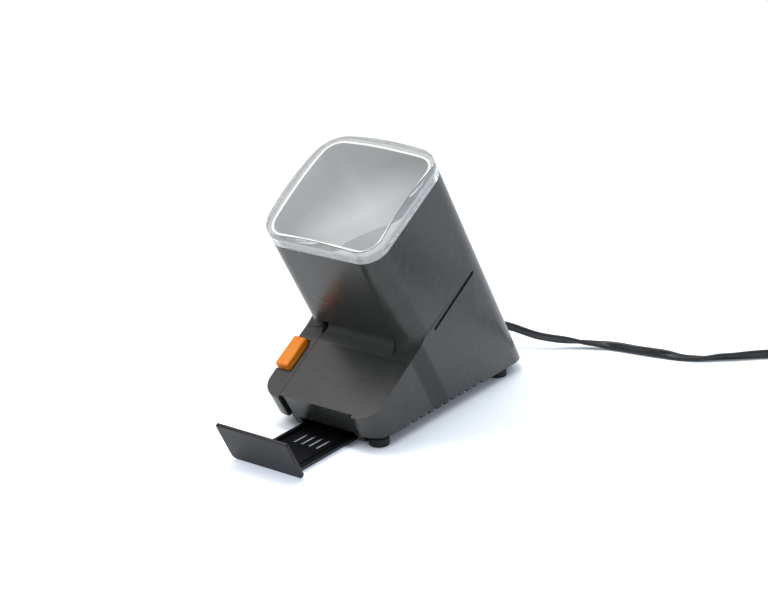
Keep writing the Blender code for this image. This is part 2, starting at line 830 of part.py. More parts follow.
def build_case(tilted, level, grey):
    """The housing and its separate side cover, cut from one shell."""
    shell = body_solid(0, -FRONT_SKIN, BACK, 0, BASE_Z, tilted)
    add(shell, head_solid(0, -WALL * 2, HEAD_TOP, tilted), cove_solid(tilted))
    cut(shell, cavity_solid(tilted, level))
    cut(shell, *recess_cutters(tilted))
    add(shell, *tab_solids(tilted))
    cut(shell, slide_slot(tilted), gland_hole(level))
    cut(shell, pocket_solid(tilted))
    cut(shell, *vent_notches(level))
    shell.name = "housing"
    shell.data.materials.clear()
    shell.data.materials.append(grey)
    deep = level_to_tilted(0, 0)[1] - DECK_EDGE_Z - OVERRUN
    left, front = -HALF_WIDTH - OVERRUN, -FRONT_SKIN - OVERRUN
    end = HEAD_FRONT - GAP / 2
    top = COVE_RISE + OVERRUN
    cover = copy_of(shell, "switch_side_cover", grey)
    keep_common(cover, box("region", (left, -COVER_SEAM - GAP), (front, end - GAP), (deep, top), tilted))
    cut(shell, box("region", (left, -COVER_SEAM), (front, end), (deep, top), tilted))
    cut(cover, key_well(tilted))
    return shell, cover


def build_lens(tilted, clear):
    """The square cap: skirt, lip and the thick lens, domed to its edges."""
    low = HEAD_TOP + GAP
    cap = head_solid(0, low, DOME_TOP + OVERRUN, tilted)
    add(cap, head_solid(WALL + GAP, low - LIP_DEPTH, low + OVERRUN, tilted))
    hollow = head_solid(WALL + GAP + LIP_WALL, low - LIP_DEPTH - OVERRUN, LENS_UNDERSIDE, tilted)
    cut(cap, hollow)
    keep_common(cap, dome_solid(DOME_TOP, DOME_RADIUS, low - LIP_DEPTH - OVERRUN, tilted))
    cap.name = "magnifier_lens"
    cap.data.materials.clear()
    cap.data.materials.append(clear)
    return cap


def dome_solid(top, radius, bottom, tilted):
    """A flat-bottomed solid with a spherical top, centred under the lens."""
    profile = [(0, bottom), (DOME_REACH + OVERRUN, bottom)]
    rim = []
    for i in range(DOME_RINGS + 1):
        reach = (DOME_REACH + OVERRUN) * (1 - i / DOME_RINGS)
        rim.append((reach, top - radius + math.sqrt(radius**2 - reach**2)))
    centre = (0, HEAD_FRONT + HEAD_DEPTH / 2, 0)
    return turned("dome", profile + rim, centre, DOME_SIDES, tilted)


def hood_ring(half, corner, u_low, u_high, w):
    return [(x, u, w) for x, u in rounded(-half, half, u_low, u_high, corner)]


def build_hood(tilted, pale):
    """A square funnel from the lens down to the gate."""
    inset = WALL + GAP
    top = [(x, u, HOOD_TOP) for x, u in head_outline(inset)]
    top_in = [(x, u, HOOD_TOP) for x, u in head_outline(inset + HOOD_WALL)]
    low_w = GATE_TOP + GAP
    half = HOOD_THROAT
    low = hood_ring(half, HOOD_THROAT_CORNER, SLIDE_U - half, SLIDE_U + half, low_w)
    half = HOOD_THROAT - HOOD_WALL
    corner = HOOD_THROAT_CORNER - HOOD_WALL
    low_in = hood_ring(half, corner, SLIDE_U - half, SLIDE_U + half, low_w)
    return tube_between("viewing_hood", [low, top, top_in, low_in], tilted, pale)


def build_gate(tilted, pale):
    """The frame that the slide is pushed into, open to the slot."""
    reach = SLIDE_SIZE / 2 + SLIDE_PLAY / 2
    outer = reach + GATE_LIP
    edge = INNER_HALF - GAP
    gate = box(
        "slide_gate", (-edge, edge), (SLIDE_U - outer, SLIDE_U + outer),
        (GATE_BOTTOM, GATE_TOP), tilted, pale,
    )
    low, high = SLIDE_W - CHANNEL_HEIGHT / 2, SLIDE_W + CHANNEL_HEIGHT / 2
    across, along = (-reach, edge + OVERRUN), (SLIDE_U - reach, SLIDE_U + reach)
    channel = box("channel", across, along, (low, high), tilted)
    half = SLIDE_WINDOW / 2
    window = slab(
        "window", rounded(-half, half, SLIDE_U - half, SLIDE_U + half, WALL, GATE_STEPS),
        GATE_BOTTOM - OVERRUN, GATE_TOP + OVERRUN, tilted,
    )
    return cut(gate, channel, window)


def build_slide_springs(tilted, steel):
    """Two bowed strips on the gate's floor, either side of its window."""
    floor = SLIDE_W - CHANNEL_HEIGHT / 2 + GAP
    springs = []
    margin = (SLIDE_SIZE - SLIDE_WINDOW) / 4 + SLIDE_WINDOW / 2
    for name, side in (("slide_spring_front", -1), ("slide_spring_rear", 1)):
        lower = []
        for i in range(SPRING_STEPS + 1):
            share = 2 * i / SPRING_STEPS - 1
            lower.append((share * SPRING_LENGTH / 2, floor + SPRING_RISE * (1 - share**2)))
        upper = [(x, w + SPRING_THICKNESS) for x, w in lower]
        outline = [(w, x) for x, w in lower + upper[::-1]][::-1]
        u = SLIDE_U + side * margin
        springs.append(slab(
            name, outline, u - SPRING_WIDTH / 2, u + SPRING_WIDTH / 2, tilted, steel, along="y",
        ))
    return springs


def build_light_box(tilted, opal, white):
    """The diffuser under the gate and the trough that throws the lamp's light up to it."""
    top = GATE_BOTTOM - GAP
    half = DIFFUSER_HALF
    slab(
        "diffuser", rounded(-half, half, SLIDE_U - half, SLIDE_U + half, WALL, GATE_STEPS),
        top - DIFFUSER_THICKNESS, top, tilted, opal,
    )
    flange = top - DIFFUSER_THICKNESS - GAP
    mouth = half - REFLECTOR_SEAT
    edge = mouth + REFLECTOR_FLANGE
    below = flange - REFLECTOR_WALL
    wide = mouth + REFLECTOR_WALL
    inner = [(SLIDE_U + edge, flange), (SLIDE_U + mouth, flange)]
    outer = [(SLIDE_U + edge, below), (SLIDE_U + wide, below)]
    for i in range(REFLECTOR_STEPS + 1):
        angle = (REFLECTOR_SWEEP - math.pi) / 2 - REFLECTOR_SWEEP * i / REFLECTOR_STEPS
        for radius, path in ((REFLECTOR_RADIUS, inner), (REFLECTOR_RADIUS + REFLECTOR_WALL, outer)):
            path.append((SLIDE_U + radius * math.cos(angle), LAMP_W + radius * math.sin(angle)))
    inner += [(SLIDE_U - mouth, flange), (SLIDE_U - edge, flange)]
    outer += [(SLIDE_U - wide, below), (SLIDE_U - edge, below)]
    slab(
        "reflector", inner + outer[::-1], REFLECTOR_START, INNER_HALF - REFLECTOR_INSET,
        tilted, white, along="x",
    )


def build_lamp(tilted, level, glass, steel, ivory, zinc):
    """Bulb, cap, holder and the bracket that stands on the base plate."""
    centre = (0, SLIDE_U, LAMP_W)
    start = BULB_START + GAP
    globe = [(0, start)]
    globe += [(BULB_RADIUS * wide, start + BULB_LENGTH * far) for far, wide in BULB_SHARES]
    globe += [(0, start + BULB_LENGTH)]
    turned("lamp_bulb", globe, centre, LAMP_SIDES, tilted, glass, along="x")
    cap_start = BULB_START - CAP_LENGTH
    rod("lamp_cap", CAP_RADIUS, cap_start, BULB_START, centre, LAMP_SIDES, tilted, steel, along="x")
    holder_end = BULB_START - CAP_LENGTH / 4
    holder_start = holder_end - HOLDER_LENGTH
    holder = rod(
        "lamp_holder", HOLDER_RADIUS, holder_start, holder_end, centre,
        LAMP_SIDES, tilted, ivory, along="x",
    )
    cut(holder, rod(
        "socket", CAP_RADIUS + GAP, cap_start - GAP, holder_end + OVERRUN, centre,
        LAMP_SIDES, tilted, along="x",
    ))
    y, z = tilted_to_level(SLIDE_U, LAMP_W)
    right = holder_start - GAP
    left = right - BRACKET_THICKNESS
    outline = box_points(y - BRACKET_WIDTH / 2, y + BRACKET_WIDTH / 2, INSIDE_Z, z + HOLDER_RADIUS)
    bracket = slab("lamp_bracket", outline, left, right, level, zinc, along="x")
    foot = box(
        "foot", (left, right + BRACKET_FOOT), (y - BRACKET_WIDTH / 2, y + BRACKET_WIDTH / 2),
        (INSIDE_Z, INSIDE_Z + BRACKET_THICKNESS), level,
    )
    add(bracket, foot)


def build_key(tilted, orange, black, brass, steel):
    """The orange key, its plunger and bridge, and the fixed switch below."""
    left, right = -HALF_WIDTH, -HALF_WIDTH + KEY_WIDTH
    centre_x = -HALF_WIDTH + WALL + GAP + SWITCH_BACK / 2
    centre_u = KEY_START + KEY_LENGTH / 2
    key = box(
        "switch_button", (left, right), (KEY_START, KEY_START + KEY_LENGTH),
        (-KEY_DROP, KEY_RISE), tilted, orange,
    )
    soften = key.modifiers.new("edges", "BEVEL")
    soften.width = KEY_EDGE
    soften.segments = KEY_EDGE_STEPS
    soften.limit_method = "ANGLE"
    graph = bpy.context.evaluated_depsgraph_get()
    key.data = bpy.data.meshes.new_from_object(key.evaluated_get(graph))
    key.modifiers.clear()
    flange = box(
        "flange", (right - OVERRUN, right + KEY_FLANGE),
        (KEY_START + KEY_EDGE, KEY_START + KEY_LENGTH - KEY_EDGE),
        (-WALL - GAP - KEY_FLANGE_HEIGHT, -WALL - GAP), tilted,
    )
    add(key, flange)
    top = -KEY_DROP - GAP
    profile = [
        (0, top - PLUNGER_LENGTH), (PLUNGER_RADIUS, top - PLUNGER_LENGTH),
        (PLUNGER_RADIUS, top - PLUNGER_HEAD_HEIGHT), (PLUNGER_HEAD, top - PLUNGER_HEAD_HEIGHT),
        (PLUNGER_HEAD, top), (0, top),
    ]
    centre = (centre_x, centre_u, 0)
    turned("switch_plunger", profile, centre, SCREW_SIDES, tilted, black)
    bridge_top = SWITCH_TOP - BRIDGE_DROP
    bridge = box(
        "contact_bridge", (centre_x - BRIDGE_WIDTH / 2, centre_x + BRIDGE_WIDTH / 2),
        (centre_u - BRIDGE_HALF, centre_u + BRIDGE_HALF),
        (bridge_top - BRIDGE_THICKNESS, bridge_top), tilted, brass,
    )
    cut(bridge, rod(
        "hole", PLUNGER_RADIUS + GAP, bridge_top - OVERRUN, bridge_top + OVERRUN, centre,
        SCREW_SIDES, tilted,
    ))
    low = SWITCH_TOP - SWITCH_HEIGHT
    body = box(
        "switch_body", (centre_x - SWITCH_BACK / 2, centre_x + SWITCH_BACK / 2),
        (centre_u - SWITCH_HALF, centre_u + SWITCH_HALF), (low, SWITCH_TOP), tilted, black,
    )
    inner = SWITCH_WALL
    cut(body, box(
        "hollow", (centre_x - SWITCH_BACK / 2 + inner, centre_x + SWITCH_BACK / 2 - inner),
        (centre_u - SWITCH_HALF + inner, centre_u + SWITCH_HALF - inner),
        (low + inner, SWITCH_TOP + OVERRUN), tilted,
    ))
    tip = bridge_top - BRIDGE_THICKNESS - KEY_TRAVEL - GAP
    floor = low + SWITCH_WALL + GAP
    for name, side in (("contact_front", -1), ("contact_rear", 1)):
        wall = centre_u + side * (SWITCH_HALF - SWITCH_WALL - GAP)
        across = (centre_x - CONTACT_WIDTH / 2, centre_x + CONTACT_WIDTH / 2)
        post = sorted((wall, wall - side * CONTACT_THICKNESS))
        reach = sorted((wall, wall - side * (CONTACT_THICKNESS + CONTACT_REACH)))
        strip = box(name, across, post, (floor, tip), tilted, brass)
        add(strip, box("reach", across, reach, (tip - CONTACT_THICKNESS, tip), tilted))
    spring_top = bridge_top - BRIDGE_THICKNESS - GAP - COIL_SPRING_WIRE
    spring_low = floor + COIL_SPRING_WIRE
    points = []
    count = COIL_SPRING_TURNS * COIL_SPRING_POINTS
    for i in range(count + 1):
        angle = 2 * math.pi * i / COIL_SPRING_POINTS
        points.append((
            centre_x + COIL_SPRING_RADIUS * math.cos(angle),
            centre_u + COIL_SPRING_RADIUS * math.sin(angle),
            spring_low + (spring_top - spring_low) * i / count,
        ))
    tube("switch_spring", points, COIL_SPRING_WIRE, 0, steel, tilted)


def build_base(tilted, level, black):
    """The plate that closes the case from below, with its vents and screw holes."""
    inset = WALL + PLATE_GAP
    front, back = INNER_FRONT + PLATE_GAP, INNER_BACK - PLATE_GAP
    plate = body_solid(inset, front, back, -WALL * 2, PLATE_LOW, tilted)
    trim_level(plate, PLATE_HIGH, keep_above=False)
    half = FLOOR_VENT_LENGTH / 2
    for i in range(FLOOR_VENT_COUNT):
        y = FLOOR_VENT_CENTRE_Y + FLOOR_VENT_PITCH * (i - (FLOOR_VENT_COUNT - 1) / 2)
        slot = rounded(-half, half, y - FLOOR_VENT_WIDTH / 2, y + FLOOR_VENT_WIDTH / 2,
                       FLOOR_VENT_WIDTH / 2 - MERGE, GATE_STEPS)
        cut(plate, slab("vent", slot, PLATE_LOW - OVERRUN, PLATE_HIGH + OVERRUN, level))
    cut(plate, *(screw_hole(x, y, level) for name, x, y in foot_places()))
    plate.name = "base_plate"
    plate.data.materials.clear()
    plate.data.materials.append(black)
    return plate


def build_feet(level, rubber, steel):
    head_top = SCREW_RECESS + SCREW_HEAD_HEIGHT
    hole, well = SCREW_RADIUS + GAP, SCREW_HEAD + GAP
    top = PLATE_LOW - GAP
    edge = FOOT_EDGE
    foot_profile = [
        (well, 0), (FOOT_RADIUS - edge, 0), (FOOT_RADIUS, edge), (FOOT_RADIUS, FOOT_STEP_Z),
        (FOOT_NECK, FOOT_STEP_Z), (FOOT_NECK, top), (hole, top), (hole, head_top + GAP),
        (well, head_top + GAP), (well, 0),
    ]
    screw_profile = [
        (0, SCREW_RECESS), (SCREW_HEAD, SCREW_RECESS), (SCREW_HEAD, head_top), (SCREW_RADIUS, head_top),
        (SCREW_RADIUS, head_top + SCREW_LENGTH), (0, head_top + SCREW_LENGTH),
    ]
    for name, x, y in foot_places():
        weld(turned(f"foot_{name}", foot_profile, (x, y, 0), FOOT_SIDES, level, rubber))
        turned(f"foot_screw_{name}", screw_profile, (x, y, 0), SCREW_SIDES, level, steel)


def weld(item):
    """Joins the first and last rings of a turned ring."""
    shape = bmesh.new()
    shape.from_mesh(item.data)
    bmesh.ops.remove_doubles(shape, verts=shape.verts[:], dist=MERGE)
    bmesh.ops.recalc_face_normals(shape, faces=shape.faces[:])
    shape.to_mesh(item.data)
    shape.free()


def build_tray(level, grey, black):
    """The grey front plate on the black tongue that slides under the base."""
    slope = bpy.data.objects.new("tray_slope", None)
    bpy.context.scene.collection.objects.link(slope)
    slope.parent = level
    slope.location = (0, TRAY_FOOT_Y, TRAY_FOOT_Z)
    slope.rotation_euler = (TRAY_TILT, 0, 0)
    bpy.context.view_layer.update()
    outline = rounded(
        -FRONT_HALF, FRONT_HALF, 0, FRONT_HEIGHT,
        (FRONT_TOP_CORNER, FRONT_TOP_CORNER, FRONT_CORNER, FRONT_CORNER), GATE_STEPS,
    )
    outline = [(z, x) for x, z in outline][::-1]
    front = slab("tray_front", outline, 0, FRONT_THICKNESS, slope, grey, along="y")
    back_y = TRAY_FOOT_Y + FRONT_THICKNESS / math.cos(TRAY_TILT)
    lean = math.tan(TRAY_TILT)
    start = back_y - (TONGUE_LOW - TRAY_FOOT_Z) * lean + GAP / math.cos(TRAY_TILT)
    top_start = back_y - (UPSTAND_TOP - TRAY_FOOT_Z) * lean + GAP / math.cos(TRAY_TILT)
    rail_in = TONGUE_HALF - TONGUE_RAIL
    groove_in = rail_in - TONGUE_GROOVE
    groove_z = TONGUE_FLOOR - TONGUE_GROOVE_DEPTH
    half = [(0, TONGUE_FLOOR), (groove_in, TONGUE_FLOOR), (groove_in, groove_z), (rail_in, groove_z),
            (rail_in, TONGUE_RAIL_TOP), (TONGUE_HALF, TONGUE_RAIL_TOP), (TONGUE_HALF, TONGUE_LOW)]
    section = [(z, x) for x, z in half] + [(z, -x) for x, z in half[:0:-1]]
    tray = slab("tray", section, start, TONGUE_END, level, black, along="y")
    mend(tray)
    wedge = [
        (start, TONGUE_LOW), (start + UPSTAND_THICKNESS, TONGUE_LOW),
        (top_start + UPSTAND_THICKNESS, UPSTAND_TOP), (top_start, UPSTAND_TOP),
    ]
    add(tray, slab("upstand", wedge, -UPSTAND_HALF, UPSTAND_HALF, level, along="x"))
    for side in (-1, 1):
        across = sorted((side * (TONGUE_HALF - TONGUE_RAIL / 2), side * (TONGUE_HALF + EAR_REACH)))
        along, upright = (TONGUE_END - EAR_LENGTH, TONGUE_END), (TONGUE_LOW, TONGUE_RAIL_TOP)
        add(tray, box("ear", across, along, upright, level))
    for i in range(SLIT_COUNT):
        x = SLIT_PITCH * (i - (SLIT_COUNT - 1) / 2)
        slit = rounded(x - SLIT_WIDTH / 2, x + SLIT_WIDTH / 2, SLIT_START, SLIT_START + SLIT_LENGTH,
                       SLIT_WIDTH / 2 - MERGE, GATE_STEPS)
        cut(tray, slab("slit", slit, 0, TONGUE_RAIL_TOP + OVERRUN, level))
    return front, tray


def mend(item):
    shape = bmesh.new()
    shape.from_mesh(item.data)
    bmesh.ops.recalc_face_normals(shape, faces=shape.faces[:])
    shape.to_mesh(item.data)
    shape.free()


def build_runners(level, black):
    """Two channels, open to each other, that carry the tongue's edges."""
    start = back_wall_y(TAB_LOW, WALL) + GAP
    for name, side in (("tray_runner_left", -1), ("tray_runner_right", 1)):
        top = PLATE_LOW - GAP
        inner, web, outer = RUNNER_INNER, RUNNER_WEB_X, RUNNER_WEB_X + RUNNER_WEB
        low_in = TONGUE_LOW - GAP
        high_in = TONGUE_RAIL_TOP + GAP
        section = [
            (inner, low_in - RUNNER_FLANGE), (outer, low_in - RUNNER_FLANGE), (outer, top), (web, top),
            (web, high_in + RUNNER_FLANGE), (inner, high_in + RUNNER_FLANGE), (inner, high_in),
            (web, high_in), (web, low_in), (inner, low_in),
        ]
        section = [(z, side * x) for x, z in section]
        mend(slab(name, section, start, RUNNER_END, level, black, along="y"))


def build_cord_fittings(level, black, ivory, steel):
    """Strain relief, terminal block, clamp with its screws, and the flex between them."""
    wall_low = back_wall_y(GLAND_Z - GLAND_COLLAR)
    wall_high = back_wall_y(GLAND_Z + GLAND_COLLAR) - WALL / COS
    collar = wall_low + GAP
    tip = collar + GLAND_COLLAR_WIDTH + GLAND_SLEEVE
    inner = wall_high - GAP
    inner_face = inner - GLAND_COLLAR_WIDTH
    profile = [
        (0, inner_face), (GLAND_COLLAR, inner_face), (GLAND_COLLAR, inner),
        (GLAND_NECK, inner), (GLAND_NECK, collar), (GLAND_COLLAR, collar),
        (GLAND_COLLAR, collar + GLAND_COLLAR_WIDTH), (GLAND_NECK, collar + GLAND_COLLAR_WIDTH),
        (GLAND_TIP, tip), (0, tip),
    ]
    turned("cord_gland", profile, (GLAND_X, 0, GLAND_Z), GLAND_SIDES, level, black, along="y")
    left = GLAND_X - TERMINAL_WIDTH / 2
    block = box(
        "terminal_block", (left, left + TERMINAL_WIDTH), (TERMINAL_Y, TERMINAL_Y + TERMINAL_DEPTH),
        (INSIDE_Z, INSIDE_Z + TERMINAL_HEIGHT), level, ivory,
    )
    for share in TERMINAL_SHARES:
        x = GLAND_X + share * TERMINAL_WIDTH
        cut(block, rod(
            "bore", TERMINAL_BORE, INSIDE_Z + TERMINAL_HEIGHT / 2, INSIDE_Z + TERMINAL_HEIGHT + OVERRUN,
            (x, TERMINAL_Y + TERMINAL_DEPTH / 2, 0), SCREW_SIDES, level,
        ))
    clamp = box(
        "cord_clamp", (GLAND_X - CLAMP_WIDTH / 2, GLAND_X + CLAMP_WIDTH / 2),
        (CLAMP_Y, CLAMP_Y + CLAMP_DEPTH), (INSIDE_Z, INSIDE_Z + CLAMP_HEIGHT), level, ivory,
    )
    cut(clamp, rod(
        "way", CORD_RADIUS + GAP, CLAMP_Y - OVERRUN, CLAMP_Y + CLAMP_DEPTH + OVERRUN,
        (GLAND_X, 0, CLAMP_CORD_Z), GLAND_SIDES, level, along="y",
    ))
    for name, side in (("clamp_screw_left", -1), ("clamp_screw_right", 1)):
        x = GLAND_X + side * (CLAMP_WIDTH / 2 - CLAMP_SCREW_EDGE)
        y = CLAMP_Y + CLAMP_DEPTH / 2
        cut(clamp, rod(
            "hole", CLAMP_SCREW_RADIUS + GAP, INSIDE_Z - OVERRUN, INSIDE_Z + CLAMP_HEIGHT + OVERRUN,
            (x, y, 0), SCREW_SIDES, level,
        ))
        seat = INSIDE_Z + CLAMP_HEIGHT + GAP
        turned(
            name,
            [
                (0, INSIDE_Z), (CLAMP_SCREW_RADIUS, INSIDE_Z), (CLAMP_SCREW_RADIUS, seat),
                (CLAMP_SCREW_HEAD, seat), (CLAMP_SCREW_HEAD, seat + CLAMP_SCREW_HEAD_HEIGHT),
                (0, seat + CLAMP_SCREW_HEAD_HEIGHT),
            ],
            (x, y, 0), SCREW_SIDES, level, steel,
        )
    start = inner_face - GAP
    stub = TERMINAL_Y + TERMINAL_DEPTH + GAP
    tail = straight_ended(
        [
            (GLAND_X, start, GLAND_Z),
            (GLAND_X, start - CORD_RADIUS, GLAND_Z),
            (GLAND_X, CLAMP_Y + CLAMP_DEPTH + CORD_RADIUS / 4, CLAMP_CORD_Z),
            (GLAND_X, CLAMP_Y, CLAMP_CORD_Z),
            (GLAND_X, stub, CLAMP_CORD_Z),
        ],
        CORD_RADIUS,
    )
    tube("cord_tail", tail, CORD_RADIUS - GAP, 2, black, level)
    return tip


def build_wires(tilted, level, red, blue, brown):
    """Three single wires between the terminal block, the switch and the lamp."""
    run_z = INSIDE_Z + WALL + WIRE_RADIUS
    join_z = INSIDE_Z + TERMINAL_HEIGHT / 2
    front = TERMINAL_Y - GAP
    left_x = -HALF_WIDTH + WALL + GAP + SWITCH_BACK / 2
    low_w = SWITCH_TOP - SWITCH_HEIGHT - GAP
    centre_u = KEY_START + KEY_LENGTH / 2
    reach = SWITCH_HALF - SWITCH_WALL - CONTACT_THICKNESS
    rear_y, rear_z = tilted_to_level(centre_u + reach, low_w)
    front_y, front_z = tilted_to_level(centre_u - reach, low_w)
    lamp_y, lamp_z = tilted_to_level(SLIDE_U, LAMP_W)
    rise_x = REFLECTOR_START - HOLDER_LENGTH / 3
    under = lamp_z - HOLDER_RADIUS - GAP
    drop = WALL + WIRE_RADIUS
    pass_x = left_x - WIRE_RADIUS
    live = [
        (GLAND_X - TERMINAL_WIDTH / 2 - GAP, TERMINAL_Y + TERMINAL_DEPTH / 2, join_z),
        (GLAND_X - TERMINAL_WIDTH / 2 - drop, TERMINAL_Y + TERMINAL_DEPTH / 2, join_z),
        (rise_x - BRACKET_FOOT / 2, lamp_y + BRACKET_WIDTH, run_z),
        (pass_x, lamp_y + BRACKET_WIDTH / 4, run_z),
        (pass_x, lamp_y - BRACKET_WIDTH, run_z),
        (left_x, rear_y + drop * 3, rear_z - drop * 3),
        (left_x, rear_y + drop * SIN, rear_z - drop * COS),
        (left_x, rear_y, rear_z),
    ]
    tube("wire_live", straight_ended(live, WIRE_STEP), WIRE_RADIUS, 1, brown, level)
    switched = [
        (left_x, front_y, front_z),
        (left_x, front_y + drop * SIN / 2, front_z - drop * COS / 2),
        (left_x + SWITCH_BACK, front_y + drop * 4, run_z),
        (rise_x, lamp_y - BRACKET_WIDTH, run_z),
        (rise_x, lamp_y - WALL, under - 2 * drop),
        (rise_x, lamp_y - WALL, under - drop / 2),
        (rise_x, lamp_y - WALL, under),
    ]
    tube("wire_switched", straight_ended(switched, WIRE_STEP), WIRE_RADIUS, 1, red, level)
    neutral = [
        (GLAND_X - TERMINAL_WIDTH / 4, front, join_z),
        (GLAND_X - TERMINAL_WIDTH / 4, front - drop, join_z),
        (rise_x + BRACKET_FOOT, lamp_y + BRACKET_WIDTH / 2 + drop, run_z),
        (rise_x, lamp_y + WALL, under - 2 * drop),
        (rise_x, lamp_y + WALL, under - drop / 2),
        (rise_x, lamp_y + WALL, under),
    ]
    tube("wire_neutral", straight_ended(neutral, WIRE_STEP), WIRE_RADIUS, 1, blue, level)


def coil_points():
    """A flat spiral inwards, a climb, the same spiral outwards on top, and the tail to the plug."""
    turns = COIL_TURN_ANGLE / (2 * math.pi)
    count = round(turns * COIL_POINTS_PER_TURN)
    low = COIL_LIFT + CORD_RADIUS
    points = []
    for i in range(count + 1):
        t = turns * i / count
        radius = COIL_OUTER - COIL_PITCH * (turns / 2 - abs(t - turns / 2))
        climb = min(max((t - turns / 2) / COIL_CLIMB_TURNS + COIL_CLIMB_TURNS, 0), 1)
        climb = climb * climb * (3 - 2 * climb)
        angle = COIL_START_ANGLE - COIL_TURN_ANGLE * i / count
        points.append(Vector((
            COIL_CENTRE_X + radius * math.cos(angle),
            COIL_CENTRE_Y + radius * math.sin(angle),
            low + COIL_PITCH * climb,
        )))
    return points


def coil_frame(angle):
    """The outward and the forward direction of the coil at an angle."""
    outward = Vector((math.cos(angle), math.sin(angle), 0))
    forward = Vector((math.sin(angle), -math.cos(angle), 0))
    return outward, forward


def build_cord(level, tip, flex, tie_black, plug_black, nickel):
    """The free flex, its coil with the tie, and the plug."""
    coil = coil_points()
    forward = coil_frame(COIL_START_ANGLE)[1]
    lead_in = coil[0] - forward * 2 * CORD_RADIUS
    start = Vector((GLAND_X, tip + GAP, GLAND_Z))
    straight = start + Vector((0, 2 * CORD_RADIUS, 0))
    last = lead_in - forward * (GAP + 2 * CORD_RADIUS)
    end = lead_in - forward * GAP
    places = [start, straight] + [Vector(p) for p in CORD_ROUTE] + [last, end]
    free = straight_ended(places, CORD_STEP)
    tube("power_cord", free, CORD_RADIUS, 2, flex, level)
    end_angle = COIL_START_ANGLE - COIL_TURN_ANGLE
    outward, forward = coil_frame(end_angle)
    axis_z = PLUG_THICKNESS / 2
    plug_start = coil[-1] + forward * COIL_TAIL_LENGTH + outward * COIL_TAIL_OUT
    plug_start.z = axis_z
    tail = smooth_route(
        [coil[-1], coil[-1] + forward * CORD_RADIUS * 2 + outward * CORD_RADIUS / 4,
         plug_start - forward * CORD_RADIUS * 2, plug_start],
        COIL_OUTER * 2 * math.pi / COIL_POINTS_PER_TURN / 2,
    )
    whole = [lead_in] + coil + tail[1:]
    tube("cord_coil", whole, CORD_RADIUS, 1, flex, level)
    print("least gap in the coil, mm:", round(least_gap(coil, CORD_RADIUS) / MM, 2))
    total = path_length(free) + path_length(whole)
    print("length of the flex, m:", round(total, 3))
    build_tie(level, coil, tie_black)
    build_plug(level, plug_start, forward, plug_black, nickel)


def build_tie(level, coil, black):
    """A band round all the turns at one place."""
    centre = Vector((COIL_CENTRE_X, COIL_CENTRE_Y, 0))
    outward, forward = coil_frame(TIE_ANGLE)
    near = [
        (p - centre).dot(outward) for p in coil
        if abs((p - centre).dot(forward)) < TIE_WIDTH and (p - centre).dot(outward) > 0
    ]
    half = CORD_RADIUS + TIE_PLAY
    low, high = min(near) - half, max(near) + half
    bottom, top = COIL_LIFT - GAP, COIL_LIFT + COIL_PITCH + 2 * CORD_RADIUS + TIE_PLAY
    inner = rounded(low, high, bottom, top, CORD_RADIUS, GATE_STEPS)
    t = TIE_THICKNESS
    outer = rounded(low - t, high + t, bottom - t, top + t, CORD_RADIUS + t, GATE_STEPS)

    def ring(outline, side):
        middle = centre + forward * side * TIE_WIDTH / 2
        return [tuple(middle + outward * a + Vector((0, 0, b))) for a, b in outline]

    rings = [ring(outer, -1), ring(outer, 1), ring(inner, 1), ring(inner, -1)]
    mend(tube_between("cord_tie", rings, level, black))


def build_plug(level, start, forward, black, nickel):
    """A flat two-pin plug lying on its side, with a sleeve towards the flex."""
    holder = bpy.data.objects.new("plug_axis", None)
    bpy.context.scene.collection.objects.link(holder)
    holder.parent = level
    holder.location = start
    holder.rotation_euler = (0, 0, math.atan2(-forward.x, forward.y))
    bpy.context.view_layer.update()
    sleeve_start = GAP
    body_start = sleeve_start + PLUG_SLEEVE
    body_end = body_start + PLUG_LENGTH
    shoulder = body_start + PLUG_SHOULDER
    rings = []
    for y, width, height in (
        (body_start, PLUG_NECK_WIDTH, PLUG_NECK_THICKNESS),
        (shoulder, PLUG_WIDTH - PLUG_NECK_THICKNESS, PLUG_THICKNESS),
        (body_end, PLUG_WIDTH, PLUG_THICKNESS),
    ):
        corner = height * PLUG_CORNER_SHARE
        outline = rounded(-width / 2, width / 2, -height / 2, height / 2, corner, GATE_STEPS)
        rings.append([(x, y, z) for x, z in outline])
    count = len(rings[0])
    points = [p for ring in rings for p in ring]
    faces = [list(range(count)), list(range(2 * count, 3 * count))[::-1]]
    for k in range(2):
        for i in range(count):
            j = (i + 1) % count
            faces.append([k * count + j, k * count + i, (k + 1) * count + i, (k + 1) * count + j])
    plug = place("plug", mesh_of(points, faces), holder, black)
    mend(plug)
    profile = [
        (0, sleeve_start), (PLUG_SLEEVE_RADIUS, sleeve_start),
        (PLUG_SLEEVE_WIDE, body_start + GAP), (0, body_start + GAP),
    ]
    add(plug, turned("sleeve", profile, (0, 0, 0), GLAND_SIDES, holder, along="y"))
    for name, side in (("plug_pin_a", -1), ("plug_pin_b", 1)):
        rod(
            name, PIN_RADIUS, body_end + GAP, body_end + GAP + PIN_LENGTH, (side * PIN_SPACING / 2, 0, 0),
            PIN_SIDES, holder, nickel, along="y",
        )


